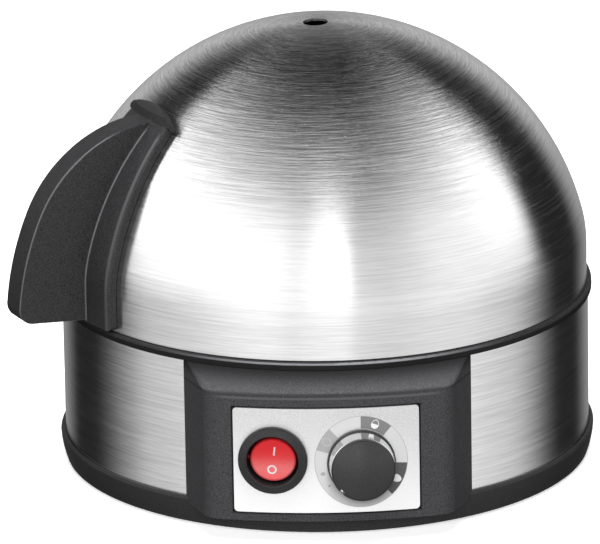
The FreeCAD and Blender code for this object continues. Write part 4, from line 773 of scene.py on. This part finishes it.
def bar_shape(shape, width, height, steps=8):
    """A flat upright bar about the origin."""
    made = bmesh.ops.create_grid(shape, x_segments=1, y_segments=steps, size=0.5)
    bmesh.ops.scale(shape, vec=(width, height, 1), verts=made["verts"])
    return made["verts"]


def lay_on_rocker(shape, lift, ahead=20 * MM):
    """Move flat marks, drawn to the right and upwards, onto the rocker's dished face."""
    rocker = frame["nodes"]["switch_rocker"]
    start = ROCKER_PIVOT + ROCKER_OUT * ahead
    for vert in shape.verts:
        place = start + ROCKER_RIGHT * vert.co.x + UP * vert.co.y
        found, spot, _, _ = rocker.ray_cast(place, -ROCKER_OUT)
        if not found:
            raise RuntimeError("a mark misses the rocker")
        vert.co = spot + ROCKER_OUT * lift


class EGGCOOKER_OT_switch(bpy.types.Operator):
    """Colour the rocker and print its two marks"""

    bl_idname = "egg_cooker.switch"
    bl_label = "Switch"

    def execute(self, context):
        finishes = context.scene.egg_cooker_finishes
        marks = context.scene.egg_cooker_marks
        dress(rocker_red(finishes), "switch_rocker")
        shape = bmesh.new()
        bar = bar_shape(shape, marks.mark_stroke, marks.mark_height)
        bmesh.ops.translate(shape, vec=(0, marks.mark_offset, 0), verts=bar)
        ring = ring_shape(shape, marks.mark_height / 2, marks.mark_stroke)
        bmesh.ops.translate(shape, vec=(0, -marks.mark_offset, 0), verts=ring)
        turn = Matrix.Rotation(-marks.mark_turn, 3, "Z")
        bmesh.ops.rotate(shape, matrix=turn, verts=shape.verts)
        bmesh.ops.translate(shape, vec=(0, -marks.mark_drop, 0), verts=shape.verts)
        lay_on_rocker(shape, marks.mark_lift)
        bmesh.ops.recalc_face_normals(shape, faces=shape.faces)
        mesh = bpy.data.meshes.new("rocker_marks")
        shape.to_mesh(mesh)
        shape.free()
        mesh.materials.append(print_white(finishes))
        piece = bpy.data.objects.new("rocker_marks", mesh)
        context.scene.collection.objects.link(piece)
        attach(piece, "rocker")
        return {"FINISHED"}


# Metal pieces inside: finish, colour, roughness, and the CAD nodes that have it
INNER_METALS = (
    ("zinc_plating", (0.60, 0.61, 0.63), 0.35, (
        "case_screws", "pan_nuts", "element_clips", "thermostat_bracket", "bracket_nuts",
        "fuse_clip", "handle_screws", "handle_washers", "panel_screws", "control_washer",
        "control_nut")),
    ("element_sheath", (0.36, 0.35, 0.34), 0.5, ("heating_element",)),
    ("terminal_brass", (0.72, 0.52, 0.22), 0.35, ("element_terminals", "switch_terminals")),
    ("turned_shaft", (0.70, 0.70, 0.71), 0.25, ("control_shaft",)),
    ("fuse_shell", (0.70, 0.66, 0.58), 0.35, ("thermal_fuse",)),
)

# Moulded pieces inside, in the same order
INNER_MOULDINGS = (
    ("ceramic", (0.62, 0.60, 0.55), 0.6, ("thermostat", "terminal_block")),
    ("part_plastic", (0.05, 0.05, 0.055), 0.4, ("control_body", "buzzer")),
)


class EGGCOOKER_OT_inner(bpy.types.Operator):
    """Finish the screws, the heating parts and the electric parts inside"""

    bl_idname = "egg_cooker.inner"
    bl_label = "Inner pieces"

    def execute(self, context):
        for finish, rows in ((plain_metal, INNER_METALS), (moulded_plastic, INNER_MOULDINGS)):
            for name, base, roughness, nodes in rows:
                dress(finish(name, base, roughness), *nodes)
        dress(circuit_board("board_lacquer"), "control_board")
        return {"FINISHED"}


# The room that reflections see. Its screens' light by azimuth in degrees, from the camera's left to
# its right: the high ones, the low ones, and the heights of a direction between which they meet
HIGH_SCREENS = (
    (-110, 1.00), (-56, 0.95), (-23, 0.84), (-15, 0.68), (-9, 0.70), (-3, 1.00), (10, 1.10),
    (13, 0.46), (28, 0.44), (40, 0.50), (51, 0.60), (76, 0.70), (91, 0.86), (110, 0.95),
)
LOW_SCREENS = (
    (-110, 0.28), (-95, 0.38), (-85, 0.60), (-60, 0.76), (-40, 1.05), (-25, 1.15), (-14, 1.02),
    (-4, 1.10), (10, 1.15), (13, 0.92), (28, 0.84), (50, 0.92), (65, 0.90), (85, 0.70), (110, 0.45),
)
SCREENS_MEET = (0.3, -0.1)

# By the height of a direction: how bright the screens are, and how far behind the cooker they reach
BRIGHTNESS = (
    (-1.0, 0.40), (-0.35, 0.50), (-0.1, 0.66), (0.05, 0.72), (0.4, 1.04), (0.6, 0.86),
    (0.75, 0.50), (0.85, 0.28), (0.93, 0.13), (1.0, 0.05),
)
REACH = (
    (-1.0, 0.22), (0.0, 0.24), (0.4, 0.30), (0.7, 0.42), (0.85, 0.30), (0.97, 0.04), (1.0, 0.0),
)

# The screens' rear edge softens between two heights, from one width to another
EDGE_HEIGHT = (0.1, -0.3)
EDGE_SOFT = (0.1, 0.3)

# A strip lamp in front, up to the zenith: its sides and soft edge in turns, its rise, its light
STRIP = (0.5 + 2 / 360, 0.5 + 7 / 360, 3 / 360)
STRIP_RISE = (0.78, 0.88, 0.13)
STRIP_LIGHT = 0.35

# The wall behind: how far back it starts, how it fades upwards, and how it dims below
WALL_BACK = (0.72, 0.97)
WALL_FADE = (0.75, 0.0)
WALL_FOOT = (-0.3, 0.1)
WALL_DIM = (0.5, 1.0)

# Light of the screens, the wall and the rest of the room, and what matt surfaces see of it all
SCREEN_LIGHT = 2.0
WALL_LIGHT = 0.6
ROOM_LIGHT = 0.02
MATT_LIGHT = (0.05, 0.05, 0.05)

# The floor: its size in metres, the width of its clouding, and how far it is lifted towards white
FLOOR_SIZE = 8.0
FLOOR_CLOUD = 0.6
FLOOR_GLOW = 0.55

# Soft boxes: name, place and width in metres, power in watts; and the point that they are aimed at
LAMPS = (
    ("overhead", (0.0, -0.35, 1.6), 0.9, 38.0),
    ("left", (-0.25, -2.2, 1.1), 0.8, 24.0),
    ("right", (0.25, -2.2, 1.0), 0.8, 19.0),
)
LAMP_AIM = Vector((0, 0, 70 * MM))

# Camera: width of its sensor in millimetres, and how far it sees in metres
SENSOR = 36
SIGHT = 50


def grey_row(tree, factor, levels, span):
    """A grey read from a row of levels, whose places lie evenly about 0 over a span."""
    stops = [(0.5 + place / span, (level, level, level)) for place, level in levels]
    return ramp_of(tree, factor, stops)


class EGGCOOKER_OT_stage(bpy.types.Operator):
    """Set the floor, the lights and the camera"""

    bl_idname = "egg_cooker.stage"
    bl_label = "Studio"

    def execute(self, context):
        scene, stage = context.scene, context.scene.egg_cooker_stage
        scene.view_settings.view_transform = "Standard"
        self.floor(scene, stage)
        self.world(scene)
        self.lamps(scene)
        self.camera(scene, stage)
        return {"FINISHED"}

    def floor(self, scene, stage):
        """A pale floor, lifted towards white where it is seen."""
        shape = bmesh.new()
        bmesh.ops.create_grid(shape, x_segments=1, y_segments=1, size=FLOOR_SIZE)
        mesh = bpy.data.meshes.new("floor")
        shape.to_mesh(mesh)
        shape.free()
        material, tree, shader = new_material("pale_floor", Roughness=0.9, Specular_IOR_Level=0.0,
                                              Emission_Color=(*WHITE, 1))
        rays = node_of(tree, "LightPath").outputs
        seen = largest(tree, rays["Is Camera Ray"], rays["Is Glossy Ray"],
                       rays["Is Transmission Ray"])
        patina = patina_of(tree, FLOOR_CLOUD)
        feed(tree, shader, Base_Color=shaded(tree, patina, stage.floor, start=0.99, end=1.01),
             Emission_Strength=multiply(tree, seen, FLOOR_GLOW))
        mesh.materials.append(material)
        floor = bpy.data.objects.new("floor", mesh)
        floor.visible_glossy = False
        floor.visible_diffuse = False
        scene.collection.objects.link(floor)

    def world(self, scene):
        """A white room. Reflections see it lit from the front, dim overhead, dark at the sides."""
        world = bpy.data.worlds.new("studio")
        scene.world = world
        world.use_nodes = True
        tree = world.node_tree
        background = next(item for item in tree.nodes if item.type == "BACKGROUND")
        direction = node_of(tree, "TexCoord").outputs["Generated"]
        x, y, z = node_of(tree, "SeparateXYZ", None, Vector=direction).outputs
        azimuth = math_of(tree, "ARCTAN2", x, multiply(tree, y, -1.0))
        turn = add(tree, divide(tree, azimuth, math.tau), 0.5)
        screens = mix_colour(tree, step_between(tree, z, *SCREENS_MEET),
                             grey_row(tree, turn, HIGH_SCREENS, 360),
                             grey_row(tree, turn, LOW_SCREENS, 360))
        rise = math_of(tree, "MULTIPLY_ADD", z, 0.5, 0.5)
        soft = spread(tree, step_between(tree, z, *EDGE_HEIGHT), *EDGE_SOFT)
        past = divide(tree, subtract(tree, y, grey_row(tree, rise, REACH, 2)), soft)
        lit = step_between(tree, past, 1.0, -1.0)
        key = multiply(tree, screens, grey_row(tree, rise, BRIGHTNESS, 2), lit)
        strip = multiply(tree, band_of(tree, turn, *STRIP), band_of(tree, z, *STRIP_RISE))
        key = math_of(tree, "MULTIPLY_ADD", strip, STRIP_LIGHT, key)
        dim = spread(tree, step_between(tree, z, *WALL_FOOT), *WALL_DIM)
        wall = multiply(tree, step_between(tree, y, *WALL_BACK), step_between(tree, z, *WALL_FADE),
                        dim)
        light = add(tree, multiply(tree, key, SCREEN_LIGHT), multiply(tree, wall, WALL_LIGHT),
                    ROOM_LIGHT)
        rays = node_of(tree, "LightPath").outputs
        room = mix_colour(tree, rays["Is Diffuse Ray"], light, MATT_LIGHT)
        feed(tree, background, Color=mix_colour(tree, rays["Is Camera Ray"], room, WHITE))

    def lamps(self, scene):
        """Soft boxes: one overhead and two by the camera."""
        for name, place, size, power in LAMPS:
            lamp = bpy.data.lights.new(name, "AREA")
            lamp.shape = "DISK"
            lamp.size = size
            lamp.energy = power
            holder = bpy.data.objects.new(name, lamp)
            holder.location = place
            holder.visible_glossy = False
            aim = LAMP_AIM - holder.location
            holder.rotation_euler = aim.to_track_quat("-Z", "Y").to_euler()
            scene.collection.objects.link(holder)

    def camera(self, scene, stage):
        """Look along +Y from a little above."""
        back = Vector((0, -math.cos(stage.elevation), math.sin(stage.elevation)))
        up = Vector((0, math.sin(stage.elevation), math.cos(stage.elevation)))
        right = Vector((1, 0, 0))
        turn = Matrix.Rotation(-stage.roll, 3, back)
        up, right = turn @ up, turn @ right
        data = bpy.data.cameras.new("camera")
        data.lens = stage.lens
        data.sensor_width = SENSOR
        data.clip_end = SIGHT
        camera = bpy.data.objects.new("camera", data)
        aim = Vector((0, 0, stage.aim_height)) + right * stage.slide_right + up * stage.slide_up
        axes = Matrix((right, up, back)).transposed()
        camera.matrix_world = Matrix.Translation(aim + back * stage.distance) @ axes.to_4x4()
        scene.collection.objects.link(camera)
        scene.camera = camera


OPERATORS = (
    EGGCOOKER_OT_steel,
    EGGCOOKER_OT_mouldings,
    EGGCOOKER_OT_front,
    EGGCOOKER_OT_switch,
    EGGCOOKER_OT_inner,
    EGGCOOKER_OT_stage,
)


class EGGCOOKER_PT_panel(bpy.types.Panel):
    """Lists the steps that dress the cooker"""

    bl_label = "Egg Cooker"
    bl_idname = "EGGCOOKER_PT_panel"
    bl_space_type = "VIEW_3D"
    bl_region_type = "UI"
    bl_category = "Egg Cooker"

    def draw(self, context):
        for operator in OPERATORS:
            self.layout.operator(operator.bl_idname)


GROUPS = {
    "egg_cooker_finishes": EggCookerFinishes,
    "egg_cooker_marks": EggCookerMarks,
    "egg_cooker_stage": EggCookerStage,
}


def register():
    for name, group in GROUPS.items():
        bpy.utils.register_class(group)
        setattr(bpy.types.Scene, name, PointerProperty(type=group))
    for item in (*OPERATORS, EGGCOOKER_PT_panel):
        bpy.utils.register_class(item)


def unregister():
    for item in (EGGCOOKER_PT_panel, *reversed(OPERATORS)):
        bpy.utils.unregister_class(item)
    for name, group in GROUPS.items():
        delattr(bpy.types.Scene, name)
        bpy.utils.unregister_class(group)


def main():
    register()
    bpy.ops.egg_cooker.steel()
    bpy.ops.egg_cooker.mouldings()
    bpy.ops.egg_cooker.front()
    bpy.ops.egg_cooker.switch()
    bpy.ops.egg_cooker.inner()
    bpy.ops.egg_cooker.stage()


if __name__ == "__main__":
    main()
